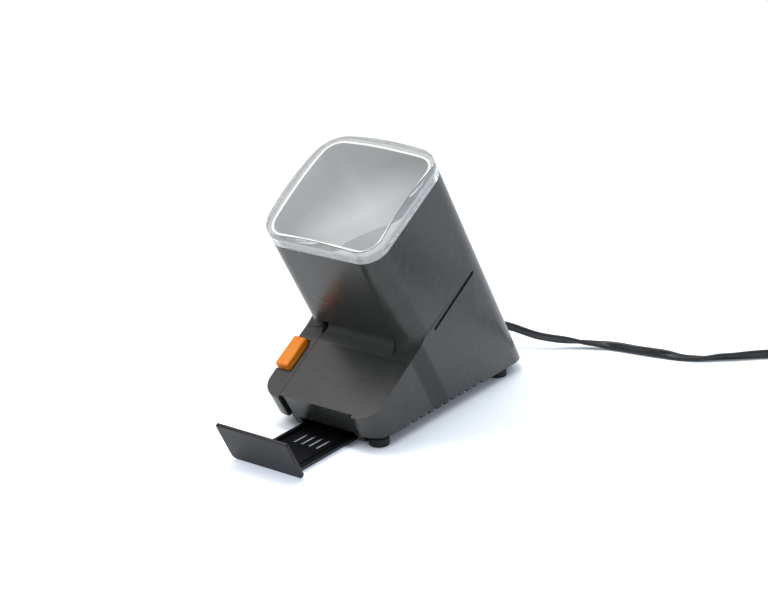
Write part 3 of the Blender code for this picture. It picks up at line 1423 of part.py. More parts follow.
def main():
    clear_scene()
    tilted, level = tilted_frame(), level_frame()
    grey = finish("case_grey", (0.105, 0.107, 0.106), 0.45)
    plate_grey = finish("tray_grey", (0.055, 0.053, 0.055), 0.5)
    clear = finish("clear_acrylic", (0.92, 0.94, 0.94), 0.05, alpha=0.35)
    pale = finish("pale_lining", (0.62, 0.63, 0.64), 0.5)
    black = finish("black_plastic", (0.012, 0.012, 0.014), 0.45)
    orange = finish("key_orange", (0.90, 0.24, 0.03), 0.35)
    white = finish("white_plastic", (0.8, 0.8, 0.78), 0.5)
    opal = finish("opal_plastic", (0.85, 0.85, 0.83), 0.4)
    ivory = finish("ivory_plastic", (0.72, 0.68, 0.56), 0.4)
    rubber = finish("foot_rubber", (0.01, 0.01, 0.01), 0.8)
    flex = finish("flex_black", (0.015, 0.015, 0.016), 0.5)
    steel = finish("zinc_steel", (0.6, 0.6, 0.6), 0.35, 1.0)
    brass = finish("brass", (0.78, 0.57, 0.25), 0.3, 1.0)
    glass = finish("bulb_glass", (0.9, 0.9, 0.88), 0.1, alpha=0.4)
    build_case(tilted, level, grey)
    build_lens(tilted, clear)
    build_hood(tilted, pale)
    build_gate(tilted, pale)
    build_slide_springs(tilted, steel)
    build_light_box(tilted, opal, white)
    build_lamp(tilted, level, glass, steel, ivory, steel)
    build_key(tilted, orange, black, brass, steel)
    build_base(tilted, level, black)
    build_feet(level, rubber, steel)
    build_tray(level, plate_grey, black)
    build_runners(level, black)
    tip = build_cord_fittings(level, black, ivory, steel)
    red = finish("wire_black", (0.02, 0.02, 0.02), 0.5)
    blue = finish("wire_blue", (0.05, 0.15, 0.5), 0.5)
    brown = finish("wire_brown", (0.2, 0.08, 0.03), 0.5)
    build_wires(tilted, level, red, blue, brown)
    build_cord(level, tip, flex, black, black, steel)


main()
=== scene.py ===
"""Slide viewer with a pull-out tray, dressed for a studio picture."""
import math

import bmesh
import bpy
from bpy.props import FloatProperty, FloatVectorProperty, PointerProperty
from mathutils import Matrix, Vector


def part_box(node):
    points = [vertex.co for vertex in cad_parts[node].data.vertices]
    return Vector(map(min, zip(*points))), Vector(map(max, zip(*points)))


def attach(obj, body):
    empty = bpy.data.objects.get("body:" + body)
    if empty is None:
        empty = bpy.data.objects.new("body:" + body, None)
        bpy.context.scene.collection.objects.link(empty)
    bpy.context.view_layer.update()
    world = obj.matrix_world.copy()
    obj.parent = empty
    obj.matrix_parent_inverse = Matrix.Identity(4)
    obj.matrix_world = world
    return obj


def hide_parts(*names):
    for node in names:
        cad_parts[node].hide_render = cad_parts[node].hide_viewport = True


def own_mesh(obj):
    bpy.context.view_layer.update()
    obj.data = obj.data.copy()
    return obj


bl_info = {
    "name": "Slide viewer",
    "version": (1, 0, 0),
    "blender": (4, 5, 0),
    "location": "3D View > Sidebar > Slide viewer",
    "description": "Case, magnifier, tray, key, feet and flex of a mains slide viewer, with its studio",
    "category": "Object",
}

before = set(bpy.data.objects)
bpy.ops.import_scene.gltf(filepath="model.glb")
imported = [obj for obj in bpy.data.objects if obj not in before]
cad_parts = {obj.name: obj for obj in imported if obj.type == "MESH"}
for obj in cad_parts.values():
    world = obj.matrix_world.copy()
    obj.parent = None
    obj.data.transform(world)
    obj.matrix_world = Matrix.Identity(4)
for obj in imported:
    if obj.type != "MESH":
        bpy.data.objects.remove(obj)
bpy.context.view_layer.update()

MM = 0.001
# How near places are one, how much of a normal faces an axis, and how flat faces are one
TINY = 0.01 * MM
FACING = 0.9
FLATNESS = math.radians(1.0)

# The tilted frame of the case: x across, u up the slope, w square to the deck
TILT = math.radians(30.5)
DECK_EDGE_Z = 25.6 * MM
EDGE_Y = -58.549 * MM
SLOPE = Matrix.Translation((0, EDGE_Y, DECK_EDGE_Z)) @ Matrix.Rotation(TILT, 4, "X")
LEVEL = Matrix.Translation((0, EDGE_Y, 0))

# Head and magnifier cap
HALF_WIDTH = 45.0 * MM
HEAD_MID = 102.0 * MM
HEAD_CORNER = 16.0 * MM
HEAD_TOP = 79.0 * MM
CAP_LOW = 79.3 * MM
CAP_TOP = 96.0 * MM
CAP_WALL = 4.1 * MM
LENS_UNDERSIDE = 84.0 * MM
LENS_TOP = 98.6 * MM
LENS_RADIUS = 180.0 * MM
LENS_CELL = 3.0 * MM
BAND_LOW = LENS_UNDERSIDE - 0.5 * MM
BAND_HIGH = LENS_UNDERSIDE + 0.8 * MM
CORNER_SEGMENTS = 14
COVE_START = 47.0 * MM
COVE_END = 66.0 * MM
COVE_TOP = 9.0 * MM
COVE_FADE_IN = 3.0 * MM
COVE_FADE_OUT = 4.0 * MM
HOOD_LOW = 2.0 * MM
HOOD_TOP = 75.4 * MM
HOOD_THROAT = 25.0 * MM
HOOD_INSET = 4.4 * MM
HOOD_WALL = 1.4 * MM
COLLAR_WIDTH = 1.4 * MM
COLLAR_TOP = 83.7 * MM
COLLAR_PALE = COLLAR_TOP - 0.6 * MM
COLLAR_WHITE = COLLAR_TOP - 0.2 * MM
SEAT_INSET = 0.15 * MM
SEAT_THICKNESS = 0.24 * MM

# Orange key
KEY_START = 19.8 * MM
KEY_LENGTH = 24.7 * MM
KEY_WIDTH = 10.5 * MM
KEY_RISE = 4.5 * MM
KEY_DROP = 5.0 * MM
KEY_FLANGE = 2.0 * MM
KEY_FLANGE_LOW = -4.3 * MM
KEY_FLANGE_HIGH = -2.8 * MM
# Only the flat of its side faces that way so squarely, not the rounding beside it
KEY_FACING = 0.98

# Feet, level frame
FOOT_PLACES = {
    "foot_front_left": (-35.0 * MM, 29.0 * MM),
    "foot_front_right": (35.0 * MM, 19.5 * MM),
    "foot_rear_left": (-35.0 * MM, 154.98 * MM),
    "foot_rear_right": (35.0 * MM, 154.98 * MM),
}
FOOT_RADIUS = 6.7 * MM
FOOT_NECK = 5.8 * MM
FOOT_STEP_Z = 5.4 * MM
FOOT_TOP_Z = 7.9 * MM
FOOT_WELL = 3.1 * MM
FOOT_WELL_TOP = 4.5 * MM

# Flex: places as they lie on the table, level frame
FLEX_START = Vector((6.0 * MM, 187.39 * MM, 23.0 * MM))
FLEX_ROUTE = [
    (0.0090, 0.1950, 0.0200),
    (0.0180, 0.2035, 0.0150),
    (0.0345, 0.2115, 0.0095),
    (0.0570, 0.2270, 0.0050),
    (0.0760, 0.2360, 0.0032),
    (0.1010, 0.2395, 0.0029),
    (0.1330, 0.2485, 0.0029),
    (0.1560, 0.2640, 0.0029),
    (0.1780, 0.2820, 0.0031),
]
FLEX_STEP = 3.0 * MM
TRACED_PER_STEP = 8
FLEX_RADIUS = 2.8 * MM
FLEX_REST = 0.35 * MM
FLEX_GAP = 0.3 * MM
FLEX_TILES_PER_METRE = 10
# Below this height the flex comes to rest on the table, within this many points
FLEX_LOW = 3.3 * MM
FLEX_SETTLING = 14
# Steps round each core, and the groove between them as shares of a core's place and radius
CORE_STEPS = 8
GROOVE_EDGE = 0.35
GROOVE_SHOULDER = 0.93
GROOVE_FLOOR = 0.80
COIL_CENTRE = Vector((237.0 * MM, 275.0 * MM, 0))
COIL_OUTER = 40.6 * MM
COIL_PITCH = 6.2 * MM
COIL_START = math.radians(126.0)
COIL_TURNS = (106.0 + 6 * 360.0) / 360.0
COIL_POINTS_PER_TURN = 60
COIL_LIFT = 1.25 * MM
COIL_TAIL_OUT = 14.0 * MM
COIL_TAIL_LENGTH = 26.0 * MM
PLUG_Z = 6.8 * MM
# How far the flat flex is turned on its edge, in degrees, along its first stretch in metres
FLEX_TWIST = [
    (0, 50), (0.022, 76), (0.056, 70), (0.080, 0), (0.098, -70), (0.112, -88), (0.128, -66),
    (0.151, 0), (0.175, 50), (0.205, 88), (0.230, 90),
]

# Strain relief, level frame
GLAND_X = 6.0 * MM
GLAND_Z = 23.0 * MM
GLAND_PLATE = 2.0 * MM
GLAND_CHAMFER = 0.8 * MM
GLAND_SLEEVE = 9.0 * MM
PLATE_RADIUS = 6.2 * MM
CHAMFER_RADIUS = 5.2 * MM
NECK_RADIUS = 4.2 * MM
ROOT_RADIUS = 4.4 * MM
END_RADIUS = 3.2 * MM
RIB_RADIUS = 4.25 * MM
RIB_TAPER = 0.95 * MM
RIBS = 4
# One rib's corners: how far along from its start, and how far in from its radius
RIB_CORNERS = [
    (0.5 * MM, 0.02 * MM), (1.35 * MM, 0.14 * MM), (1.35 * MM, 0.75 * MM), (2.25 * MM, 0.85 * MM),
]

# Rounding of the small pieces
PIN_EDGE = 0.7 * MM
TIE_EDGE = 0.2 * MM
GLAND_EDGE = 0.25 * MM
PLUG_EDGE = 0.8 * MM
TRAY_EDGE = 0.35 * MM
FOOT_EDGE = 0.42 * MM

# Depths of the fine textures
GRAIN_DEPTH = 0.06 * MM
TEXTURE_DEPTH = 0.05 * MM
BLOOM_DEPTH = 0.08 * MM
ROLLED_DEPTH = 0.04 * MM

# Camera, as fitted to the photograph
LENS = 90.221
SENSOR_WIDTH = 36
CAMERA_PLACE = Vector((0.71071, -0.92405, 0.5094))
CAMERA_TURN = math.radians(37.08)
CAMERA_RISE = math.radians(20.53)
CAMERA_ROLL = math.radians(-1.66)

# Overhead panel and fill lights
PANEL_PLACE = (-1.04, -0.37, 2.0)
PANEL_SIZE = (2.5, 1.1)
PANEL_COLOUR = (1.0, 0.97, 0.93)
PANEL_TURN = math.radians(41.6)
FILL_SIZE = (1.2, 1.2)
FILL_AIM = Vector((0, 0, 60 * MM))
# Where across the panel its light starts and is full, its least light, and what is added to that
PANEL_DARK = 1.0
PANEL_BRIGHT = 0.0
PANEL_LEAST = 0.2
PANEL_GAIN = 2.1
# The share of the panel's light that shines on the clear cap
GLINT_SHARE = 0.34

# Floor, just below the feet, and how far out it starts to turn white and is white
FLOOR_SIZE = 16
FLOOR_Z = -0.05 * MM
FLOOR_WHITE = (0.45, 1.3)
# Its weak light of its own: least close to the object, more in the open, most in front of it
FLOOR_FRONT = (-52 * MM, -58 * MM)
CLOSE_REACH = 30 * MM
LIFT_COLOUR = (0.36, 0.395, 0.46, 1)
LIFT_CLOSE = 0.12
LIFT_OPEN = 0.88
LIFT_FRONT = 0.25

# What all colour settings share
COLOUR = {"subtype": "COLOR", "size": 3, "min": 0, "max": 1}


class ViewerFinishes(bpy.types.PropertyGroup):
    """Colours of the slide viewer, as linear red, green and blue."""

    case: FloatVectorProperty(
        name="Case", description="Colour of the case and its side cover",
        default=(0.042, 0.043, 0.042), **COLOUR,
    )
    tray_front: FloatVectorProperty(
        name="Tray front", description="Colour of the plate on the tray",
        default=(0.014, 0.0135, 0.0145), **COLOUR,
    )
    tray: FloatVectorProperty(
        name="Tray", description="Colour of the tray and other black mouldings",
        default=(0.005, 0.005, 0.006), **COLOUR,
    )
    key: FloatVectorProperty(
        name="Key", description="Colour of the lamp key", default=(1.0, 0.27, 0.004), **COLOUR,
    )
    lining: FloatVectorProperty(
        name="Lining", description="Colour of the pale hood below the magnifier",
        default=(0.42, 0.43, 0.44), **COLOUR,
    )
    rubber: FloatVectorProperty(
        name="Feet", description="Colour of the rubber feet", default=(0.010, 0.010, 0.011), **COLOUR,
    )
    flex: FloatVectorProperty(
        name="Flex", description="Colour of the flex, its gland and plug",
        default=(0.016, 0.016, 0.018), **COLOUR,
    )


class ViewerSizes(bpy.types.PropertyGroup):
    """Small sizes that a user may change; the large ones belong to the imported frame."""

    case_edge: FloatProperty(
        name="Case edges", description="Rounding of the case's edges", unit="LENGTH",
        min=0.0001, max=0.002, default=0.8 * MM,
    )
    plate_edge: FloatProperty(
        name="Tray front edges", description="Rounding of the tray front's edges", unit="LENGTH",
        min=0.0001, max=0.001, default=0.5 * MM,
    )
    rim_edge: FloatProperty(
        name="Magnifier edges", description="Rounding of the clear cap's edges", unit="LENGTH",
        min=0.0001, max=0.0015, default=0.7 * MM,
    )
    key_edge: FloatProperty(
        name="Key edges", description="Rounding of the key's edges", unit="LENGTH",
        min=0.0002, max=0.003, default=1.5 * MM,
    )
    flex_width: FloatProperty(
        name="Flex width", description="Width of the flat two-core flex", unit="LENGTH",
        min=0.003, max=0.0065, default=6.2 * MM,
    )
    flex_thickness: FloatProperty(
        name="Flex thickness", description="Thickness of the flat two-core flex", unit="LENGTH",
        min=0.002, max=0.0056, default=3.0 * MM,
    )


class StudioSettings(bpy.types.PropertyGroup):
    """Light and floor of the studio."""

    panel_power: FloatProperty(
        name="Panel", description="Power of the large panel overhead, in watts", min=0, default=40.0,
    )
    fill_power: FloatProperty(
        name="Fill light", description="Power of the light at the right, in watts", min=0, default=6.0,
    )
    back_power: FloatProperty(
        name="Back light", description="Power of the light behind and above, in watts", min=0, default=10.0,
    )
    ambient: FloatProperty(
        name="Ambient", description="Strength of the light from all round", min=0, default=0.36,
    )
    floor: FloatVectorProperty(
        name="Floor", description="Colour of the floor", default=(0.82, 0.82, 0.82), **COLOUR,
    )


class Value:
    """A socket in a node tree. Arithmetic on it adds Math nodes."""

    def __init__(self, nodes, socket):
        self.nodes = nodes
        self.socket = socket

    def worked(self, operation, *terms):
        return self.nodes.node("ShaderNodeMath", {"operation": operation}, dict(enumerate(terms)))

    def __add__(self, other):
        return self.worked("ADD", self, other)

    __radd__ = __add__

    def __sub__(self, other):
        return self.worked("SUBTRACT", self, other)

    def __rsub__(self, other):
        return self.worked("SUBTRACT", other, self)

    def __mul__(self, other):
        return self.worked("MULTIPLY", self, other)

    def over(self, low, high):
        """0 below low, 1 above high, smooth between them."""
        return self.nodes.node(
            "ShaderNodeMapRange", {"interpolation_type": "SMOOTHSTEP"},
            {"Value": self, "From Min": low, "From Max": high},
        )


class Nodes:
    """A node tree to which nodes are added."""

    def __init__(self, tree):
        self.tree = tree

    def node(self, kind, settings, values, output=0):
        """Adds a node: its settings first, then the values or links of its sockets."""
        node = self.tree.nodes.new(kind)
        for name, setting in settings.items():
            setattr(node, name, setting)
        for name, value in values.items():
            if isinstance(value, Value):
                self.tree.links.new(value.socket, node.inputs[name])
            else:
                node.inputs[name].default_value = value
        return Value(self, node.outputs[output])

    def where(self):
        """The place on the piece itself."""
        return self.node("ShaderNodeTexCoord", {}, {}, "Object")

    def part(self, vector, axis):
        return self.node("ShaderNodeSeparateXYZ", {}, {"Vector": vector}, axis)

    def stretched(self, place, scale):
        return self.node("ShaderNodeMapping", {}, {"Vector": place, "Scale": scale})

    def noise(self, place, scale, detail=2.0, roughness=0.5):
        return self.node(
            "ShaderNodeTexNoise", {},
            {"Vector": place, "Scale": scale, "Detail": detail, "Roughness": roughness},
        )

    def blended(self, share, low, high):
        """A colour between two colours."""
        values = {0: share}
        for index, colour in ((6, low), (7, high)):
            values[index] = colour if isinstance(colour, Value) else (*colour, 1)
        return self.node("ShaderNodeMix", {"data_type": "RGBA"}, values, 2)

    def mixed(self, share, low, high):
        """A shader between two shaders."""
        return self.node("ShaderNodeMixShader", {}, {0: share, 1: low, 2: high})

    def up_slope(self, place):
        """How far up the slope, and how far out from the deck, a place is."""
        y = self.part(place, "Y") - EDGE_Y
        z = self.part(place, "Z") - DECK_EDGE_Z
        return y * math.cos(TILT) + z * math.sin(TILT), z * math.cos(TILT) - y * math.sin(TILT)

    def ray_is(self, first, *others):
        """1 on rays of these kinds, 0 on others."""
        sort = self.node("ShaderNodeLightPath", {}, {}, f"Is {first} Ray")
        for kind in others:
            sort = sort + self.node("ShaderNodeLightPath", {}, {}, f"Is {kind} Ray")
        return sort.over(0.0, 0.5)

    def end_in(self, value, node, socket):
        self.tree.links.new(value.socket, node.inputs[socket])


class Finish(Nodes):
    """A procedural material around one Principled shader."""

    def __init__(self, name, constants):
        self.material = bpy.data.materials.new(name)
        self.material.use_nodes = True
        super().__init__(self.material.node_tree)
        self.shader = self.tree.nodes["Principled BSDF"]
        for socket, value in constants.items():
            self.shader.inputs[socket].default_value = value

    def feed(self, socket, value):
        self.end_in(value, self.shader, socket)

    def bumped(self, height, strength, depth=TEXTURE_DEPTH):
        self.feed("Normal", self.node(
            "ShaderNodeBump", {}, {"Height": height, "Strength": strength, "Distance": depth},
        ))


def shade(colour, factor):
    return tuple(min(1.0, c * factor) for c in colour)


def satin_plastic(name, colour, roughness=0.42, grain=0.12, paler_edges=0.0, specular=0.5, cove=0.0):
    """Moulded plastic with a fine spark-eroded grain, faint clouds and scuffs, and paler edges.
    In the cove where the head meets the deck it is duller."""
    made = Finish(name, {"Specular IOR Level": specular})
    place = made.where()
    cloud = made.noise(place, 16.0, 3.0)
    scuff = made.noise(made.stretched(place, (40.0, 900.0, 260.0)), 1.0, 3.0, 0.6).over(0.66, 0.74)
    speck = made.noise(place, 1500.0, 1.0)
    tone = made.blended(cloud, shade(colour, 0.94), shade(colour, 1.06))
    tone = made.blended(speck.over(0.35, 0.75) * 0.35, tone, shade(colour, 1.16))
    # Paler in patches along the sharp edges
    if paler_edges:
        edge = made.node("ShaderNodeNewGeometry", {}, {}, "Pointiness").over(0.53, 0.60)
        patch = made.noise(place, 140.0, 3.0, 0.6).over(0.38, 0.72)
        tone = made.blended(edge * patch * paler_edges, tone, shade(colour, 1.9))
    made.feed("Base Color", tone)
    rough = roughness - 0.04 + cloud * 0.08 + scuff * 0.06
    if cove:
        u, w = made.up_slope(place)
        inside = u.over(COVE_START, COVE_START + COVE_FADE_IN) * u.over(COVE_END, COVE_END - COVE_FADE_OUT)
        rough = rough + inside * w.over(COVE_TOP, COVE_TOP - COVE_FADE_OUT) * cove
    made.feed("Roughness", rough)
    fine = made.noise(place, 3200.0, 1.0)
    coarse = made.noise(place, 1100.0)
    made.bumped(fine * 0.45 + coarse * 0.55 - scuff * 0.1, grain, GRAIN_DEPTH)
    return made.material


def clear_acrylic():
    """Polished clear acrylic, a little milky in its skirt, with dust specks and faint smears."""
    made = Finish("clear_acrylic", {
        "IOR": 1.49, "Transmission Weight": 1.0, "Specular IOR Level": 0.5,
    })
    place = made.where()
    smear = made.noise(made.stretched(place, (60.0, 22.0, 22.0)), 1.0, 3.0, 0.6).over(0.45, 0.75)
    dust = made.noise(place, 420.0, 1.0).over(0.80, 0.84)
    made.feed("Base Color", made.blended(dust, (0.985, 0.99, 0.992), (0.55, 0.56, 0.57)))
    made.feed("Roughness", 0.012 + smear * 0.018 + dust * 0.25)
    facing = made.node("ShaderNodeNewGeometry", {}, {}, "Normal")
    upright = made.node(
        "ShaderNodeVectorMath", {"operation": "DOT_PRODUCT"},
        {0: facing, 1: (0, -math.sin(TILT), math.cos(TILT))}, "Value",
    )
    upright = made.node("ShaderNodeMath", {"operation": "ABSOLUTE"}, {0: upright})
    clouds = made.noise(place, 55.0, 3.0)
    band = made.up_slope(place)[1].over(BAND_LOW, BAND_HIGH)
    milk = made.node("ShaderNodeBsdfPrincipled", {}, {
        "Base Color": (0.70, 0.71, 0.72, 1), "Roughness": 0.35, "IOR": 1.49,
    })
    factor = (1 - upright.over(0.25, 0.6)) * (0.08 + clouds * 0.26 + band * 0.24)
    clear = Value(made, made.shader.outputs[0])
    whole = made.mixed(factor, clear, milk)
    made.end_in(whole, made.tree.nodes["Material Output"], "Surface")
    return made.material


def pale_lining(colour):
    """The hood's matt inside, painted paler towards its foot with a painted glow there, white on its
    collar.
    """
    made = Finish("pale_lining", {"Specular IOR Level": 0.3})
    place = made.where()
    height = made.up_slope(place)[1]
    cloud = made.noise(place, 30.0, 3.0)
    # Painted light: the colour turns paler towards the hood's foot, as if more light reached it there
    depth = height.over(HOOD_TOP, HOOD_LOW)
    tone = made.blended(depth, colour, shade(colour, 2.1))
    tone = made.blended(cloud * 0.25, tone, shade(colour, 0.9))
    collar = height.over(COLLAR_PALE, COLLAR_WHITE)
    made.feed("Base Color", made.blended(collar, tone, (0.70, 0.70, 0.69)))
    made.feed("Roughness", 0.55 + cloud * 0.1)
    # Painted glow towards the hood's foot, though the hood is no lamp
    made.feed("Emission Color", made.blended(depth, (0.0, 0.0, 0.0), (0.32, 0.325, 0.33)))
    made.shader.inputs["Emission Strength"].default_value = 1.0
    made.bumped(made.noise(place, 60.0), 0.05)
    return made.material


def key_plastic(colour):
    """Soft-gloss orange with a fine texture, rubbed smoother where the finger rests."""
    made = Finish("key_orange", {"Specular IOR Level": 0.35})
    place = made.where()
    cloud = made.noise(place, 60.0)
    rubbed = made.noise(place, 140.0, 2.0, 0.6).over(0.5, 0.75)
    made.feed("Base Color", made.blended(cloud, shade(colour, 0.95), shade(colour, 1.05)))
    made.feed("Roughness", 0.50 - rubbed * 0.1)
    made.bumped(made.noise(place, 1800.0), 0.12)
    return made.material


def rubber(name, colour):
    """Matt rubber with a fine bloom."""
    made = Finish(name, {"Specular IOR Level": 0.4})
    place = made.where()
    bloom = made.noise(place, 260.0, 4.0, 0.6).over(0.4, 0.8)
    made.feed("Base Color", made.blended(bloom * 0.5, colour, shade(colour, 2.2)))
    made.feed("Roughness", 0.55 + bloom * 0.2)
    made.bumped(made.noise(place, 1400.0, 3.0), 0.2, BLOOM_DEPTH)
    return made.material


def flex_sheath(colour):
    """The flex's sheath: satin, with drawn lines along it and faint dulling."""
    made = Finish("flex_black", {"Specular IOR Level": 0.45})
    along = made.node("ShaderNodeUVMap", {"uv_map": "flex"}, {})
    lines = made.noise(made.stretched(along, (14.0, 46.0, 1.0)), 1.0)
    dull = made.noise(made.stretched(along, (90.0, 5.0, 1.0)), 1.0, 3.0, 0.6).over(0.4, 0.75)
    made.feed("Base Color", made.blended(dull * 0.6, colour, shade(colour, 1.8)))
    made.feed("Roughness", 0.36 + dull * 0.16)
    made.bumped(lines, 0.15)
    return made.material


def plain_plastic(name, colour, roughness, glow=0.0):
    """Smooth moulded plastic with faint clouds, for the pieces inside."""
    made = Finish(name, {"Specular IOR Level": 0.5, "Subsurface Weight": glow})
    place = made.where()
    cloud = made.noise(place, 45.0, 3.0)
    made.feed("Base Color", made.blended(cloud, shade(colour, 0.93), shade(colour, 1.04)))
    made.feed("Roughness", roughness + cloud * 0.08)
    made.bumped(made.noise(place, 900.0), 0.08)
    return made.material


def metal(name, colour, roughness, tarnish):
    """Plated or plain metal with rolling marks and a little tarnish."""
    made = Finish(name, {"Metallic": 1.0})
    place = made.where()
    marks = made.noise(made.stretched(place, (900.0, 900.0, 60.0)), 1.0)
    dull = made.noise(place, 180.0, 4.0, 0.6).over(0.4, 0.75)
    made.feed("Base Color", made.blended(dull * 0.7, colour, tarnish))
    made.feed("Roughness", roughness + dull * 0.18)
    made.bumped(marks, 0.1, ROLLED_DEPTH)
    return made.material


def bulb_glass():
    """Clear thin glass, faintly greyed."""
    made = Finish("bulb_glass", {"IOR": 1.45, "Transmission Weight": 0.9})
    grey = made.noise(made.where(), 70.0)
    made.feed("Base Color", made.blended(grey, (0.90, 0.90, 0.88), (0.97, 0.97, 0.96)))
    made.feed("Roughness", 0.03 + grey * 0.05)
    return made.material


def choose(piece):
    """Makes one piece the only one selected."""
    bpy.ops.object.select_all(action="DESELECT")
    piece.select_set(True)
    bpy.context.view_layer.objects.active = piece


def start_shaping(piece, kind):
    choose(piece)
    bpy.ops.object.mode_set(mode="EDIT")
    bpy.ops.mesh.select_mode(type=kind)
    bpy.ops.mesh.select_all(action="DESELECT")


def end_shaping():
    bpy.ops.object.mode_set(mode="OBJECT")


def face_outwards():
    """Turns all the faces of the mesh being shaped outwards."""
    bpy.ops.mesh.select_all(action="SELECT")
    bpy.ops.mesh.normals_make_consistent(inside=False)


def pick(piece, kind, wanted):
    """Selects just the faces or the edges that pass the test."""
    bpy.ops.mesh.select_all(action="DESELECT")
    shape = bmesh.from_edit_mesh(piece.data)
    for element in getattr(shape, kind):
        if wanted(element):
            element.select_set(True)
    bmesh.update_edit_mesh(piece.data)


def height_of(face):
    return face.calc_center_median().z


def new_object(name, data):
    """An object in the scene for some data."""
    thing = bpy.data.objects.new(name, data)
    bpy.context.scene.collection.objects.link(thing)
    return thing


def new_piece(name):
    """Names the object just added, and moves its place and size into its mesh."""
    piece = bpy.context.object
    piece.name = piece.data.name = name
    bpy.ops.object.transform_apply(location=True, rotation=True, scale=True)
    return piece


def block(name, low, high):
    """A box between two corners."""
    low, high = Vector(low), Vector(high)
    bpy.ops.object.select_all(action="DESELECT")
    bpy.ops.mesh.primitive_cube_add(size=1, location=(low + high) / 2, scale=high - low)
    return new_piece(name)


def disc(name, place, radius, sides):
    """A flat disc facing up."""
    bpy.ops.object.select_all(action="DESELECT")
    bpy.ops.mesh.primitive_circle_add(vertices=sides, radius=radius, fill_type="NGON", location=place)
    return new_piece(name)


def extrude(move):
    bpy.ops.mesh.extrude_region_move(TRANSFORM_OT_translate={"value": tuple(move)})


def grow(factors, centre):
    bpy.ops.transform.resize(value=factors, center_override=tuple(centre))


def round_edges(piece, width, segments=3, angle=35.0):
    """Rounds the sharp edges and keeps the flats flat."""
    choose(piece)
    edges = piece.modifiers.new("edges", "BEVEL")
    edges.width = width
    edges.segments = segments
    edges.limit_method = "ANGLE"
    edges.angle_limit = math.radians(angle)
    edges.harden_normals = True
    edges.use_clamp_overlap = True
    bpy.ops.object.modifier_apply(modifier=edges.name)


def smooth(piece, angle=35.0):
    choose(piece)
    bpy.ops.object.shade_smooth_by_angle(angle=math.radians(angle))


def copy_of(node):
    """A node's shape as a piece of its own: loose triangles merged, flat areas made whole."""
    piece = new_object(node + "_made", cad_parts[node].data.copy())
    start_shaping(piece, "VERT")
    bpy.ops.mesh.customdata_custom_splitnormals_clear()
    bpy.ops.mesh.select_all(action="SELECT")
    bpy.ops.mesh.remove_doubles(threshold=TINY)
    bpy.ops.mesh.dissolve_limited(angle_limit=FLATNESS)
    end_shaping()
    return piece


def softened(node, edge, segments=3, angle=35.0):
    """A node's shape, shaded smooth and then with its sharp edges rounded."""
    piece = copy_of(node)
    smooth(piece, angle)
    round_edges(piece, edge, segments)
    return piece


def rounded(node, edge, angle=35.0):
    """A node's shape with its sharp edges rounded and then all shaded smooth."""
    piece = copy_of(node)
    round_edges(piece, edge, angle=angle)
    smooth(piece, 40)
    return piece


def settle(piece, body, material, slot, *nodes):
    """Gives a finished piece its material and its body, and hides the nodes that it stands for."""
    piece.data.materials.clear()
    piece.data.materials.append(material)
    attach(piece, body)
    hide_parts(*nodes)
    return piece


def smooth_route(points, step):
    """Points about one step apart on a smooth curve through the given points."""
    spots = [Vector(p) for p in points]
    ends = [2 * spots[0] - spots[1]] + spots + [2 * spots[-1] - spots[-2]]
    fine = []
    for a, b, c, d in zip(ends, ends[1:], ends[2:], ends[3:]):
        length = (c - b).length
        pieces = max(TRACED_PER_STEP, round(TRACED_PER_STEP * length / step))
        lead = (c - a) / ((c - b).length + (b - a).length) * length
        tail = (d - b) / ((d - c).length + (c - b).length) * length
        for i in range(pieces):
            t = i / pieces
            fine.append(
                b * (2 * t**3 - 3 * t**2 + 1) + lead * (t**3 - 2 * t**2 + t)
                + c * (3 * t**2 - 2 * t**3) + tail * (t**3 - t**2)
            )
    fine.append(spots[-1])
    return evenly(fine, step)


def evenly(points, step):
    """The same line with its points one step apart."""
    lengths = [0.0]
    for p, q in zip(points, points[1:]):
        lengths.append(lengths[-1] + (q - p).length)
    count = max(2, round(lengths[-1] / step))
    route, at = [], 0
    for i in range(count + 1):
        wanted = lengths[-1] * i / count
        while at < len(points) - 2 and lengths[at + 1] < wanted:
            at += 1
        part = max(lengths[at + 1] - lengths[at], 1e-9)
        route.append(points[at].lerp(points[at + 1], (wanted - lengths[at]) / part))
    return route


def coil_frame(angle):
    """The outward and the forward direction of the coil at an angle."""
    outward = Vector((math.cos(angle), math.sin(angle), 0))
    forward = Vector((math.sin(angle), -math.cos(angle), 0))
    return outward, forward


def eased(t):
    """From 0 to 1 with a soft start and end, and level outside that."""
    t = min(max(t, 0), 1)
    return t * t * (3 - 2 * t)


def coil_points():
    """Inwards on the table, up in the half turn in the middle, and outwards again on top."""
    count = round(COIL_TURNS * COIL_POINTS_PER_TURN)
    points = []
    for i in range(count + 1):
        t = COIL_TURNS * i / count
        past_middle = t - COIL_TURNS / 2
        radius = COIL_OUTER - COIL_PITCH * (COIL_TURNS / 2 - abs(past_middle))
        height = COIL_LIFT + FLEX_RADIUS + COIL_PITCH * eased(past_middle * 2 + 0.5)
        outward = coil_frame(COIL_START - 2 * math.pi * t)[0]
        points.append(COIL_CENTRE + outward * radius + Vector((0, 0, height)))
    return points


def flex_line():
    """The flex's middle line from the gland to the plug, and the count of points before its coil."""
    coil = coil_points()
    forward = coil_frame(COIL_START)[1]
    lead_in = coil[0] - forward * 2 * FLEX_RADIUS
    last = lead_in - forward * (FLEX_GAP + 2 * FLEX_RADIUS)
    straight = FLEX_START + Vector((0, 2 * FLEX_RADIUS, 0))
    free = smooth_route([FLEX_START, straight, *FLEX_ROUTE, last, lead_in], FLEX_STEP)
    outward, onward = coil_frame(COIL_START - 2 * math.pi * COIL_TURNS)
    plug = coil[-1] + onward * COIL_TAIL_LENGTH + outward * COIL_TAIL_OUT
    plug.z = PLUG_Z
    tail = smooth_route(
        [coil[-1], coil[-1] + onward * FLEX_RADIUS * 2 + outward * FLEX_RADIUS / 4,
         plug - onward * FLEX_RADIUS * 2, plug],
        FLEX_STEP,
    )
    line = [LEVEL @ p for p in free + coil + tail[1:]]
    return line, len(free)


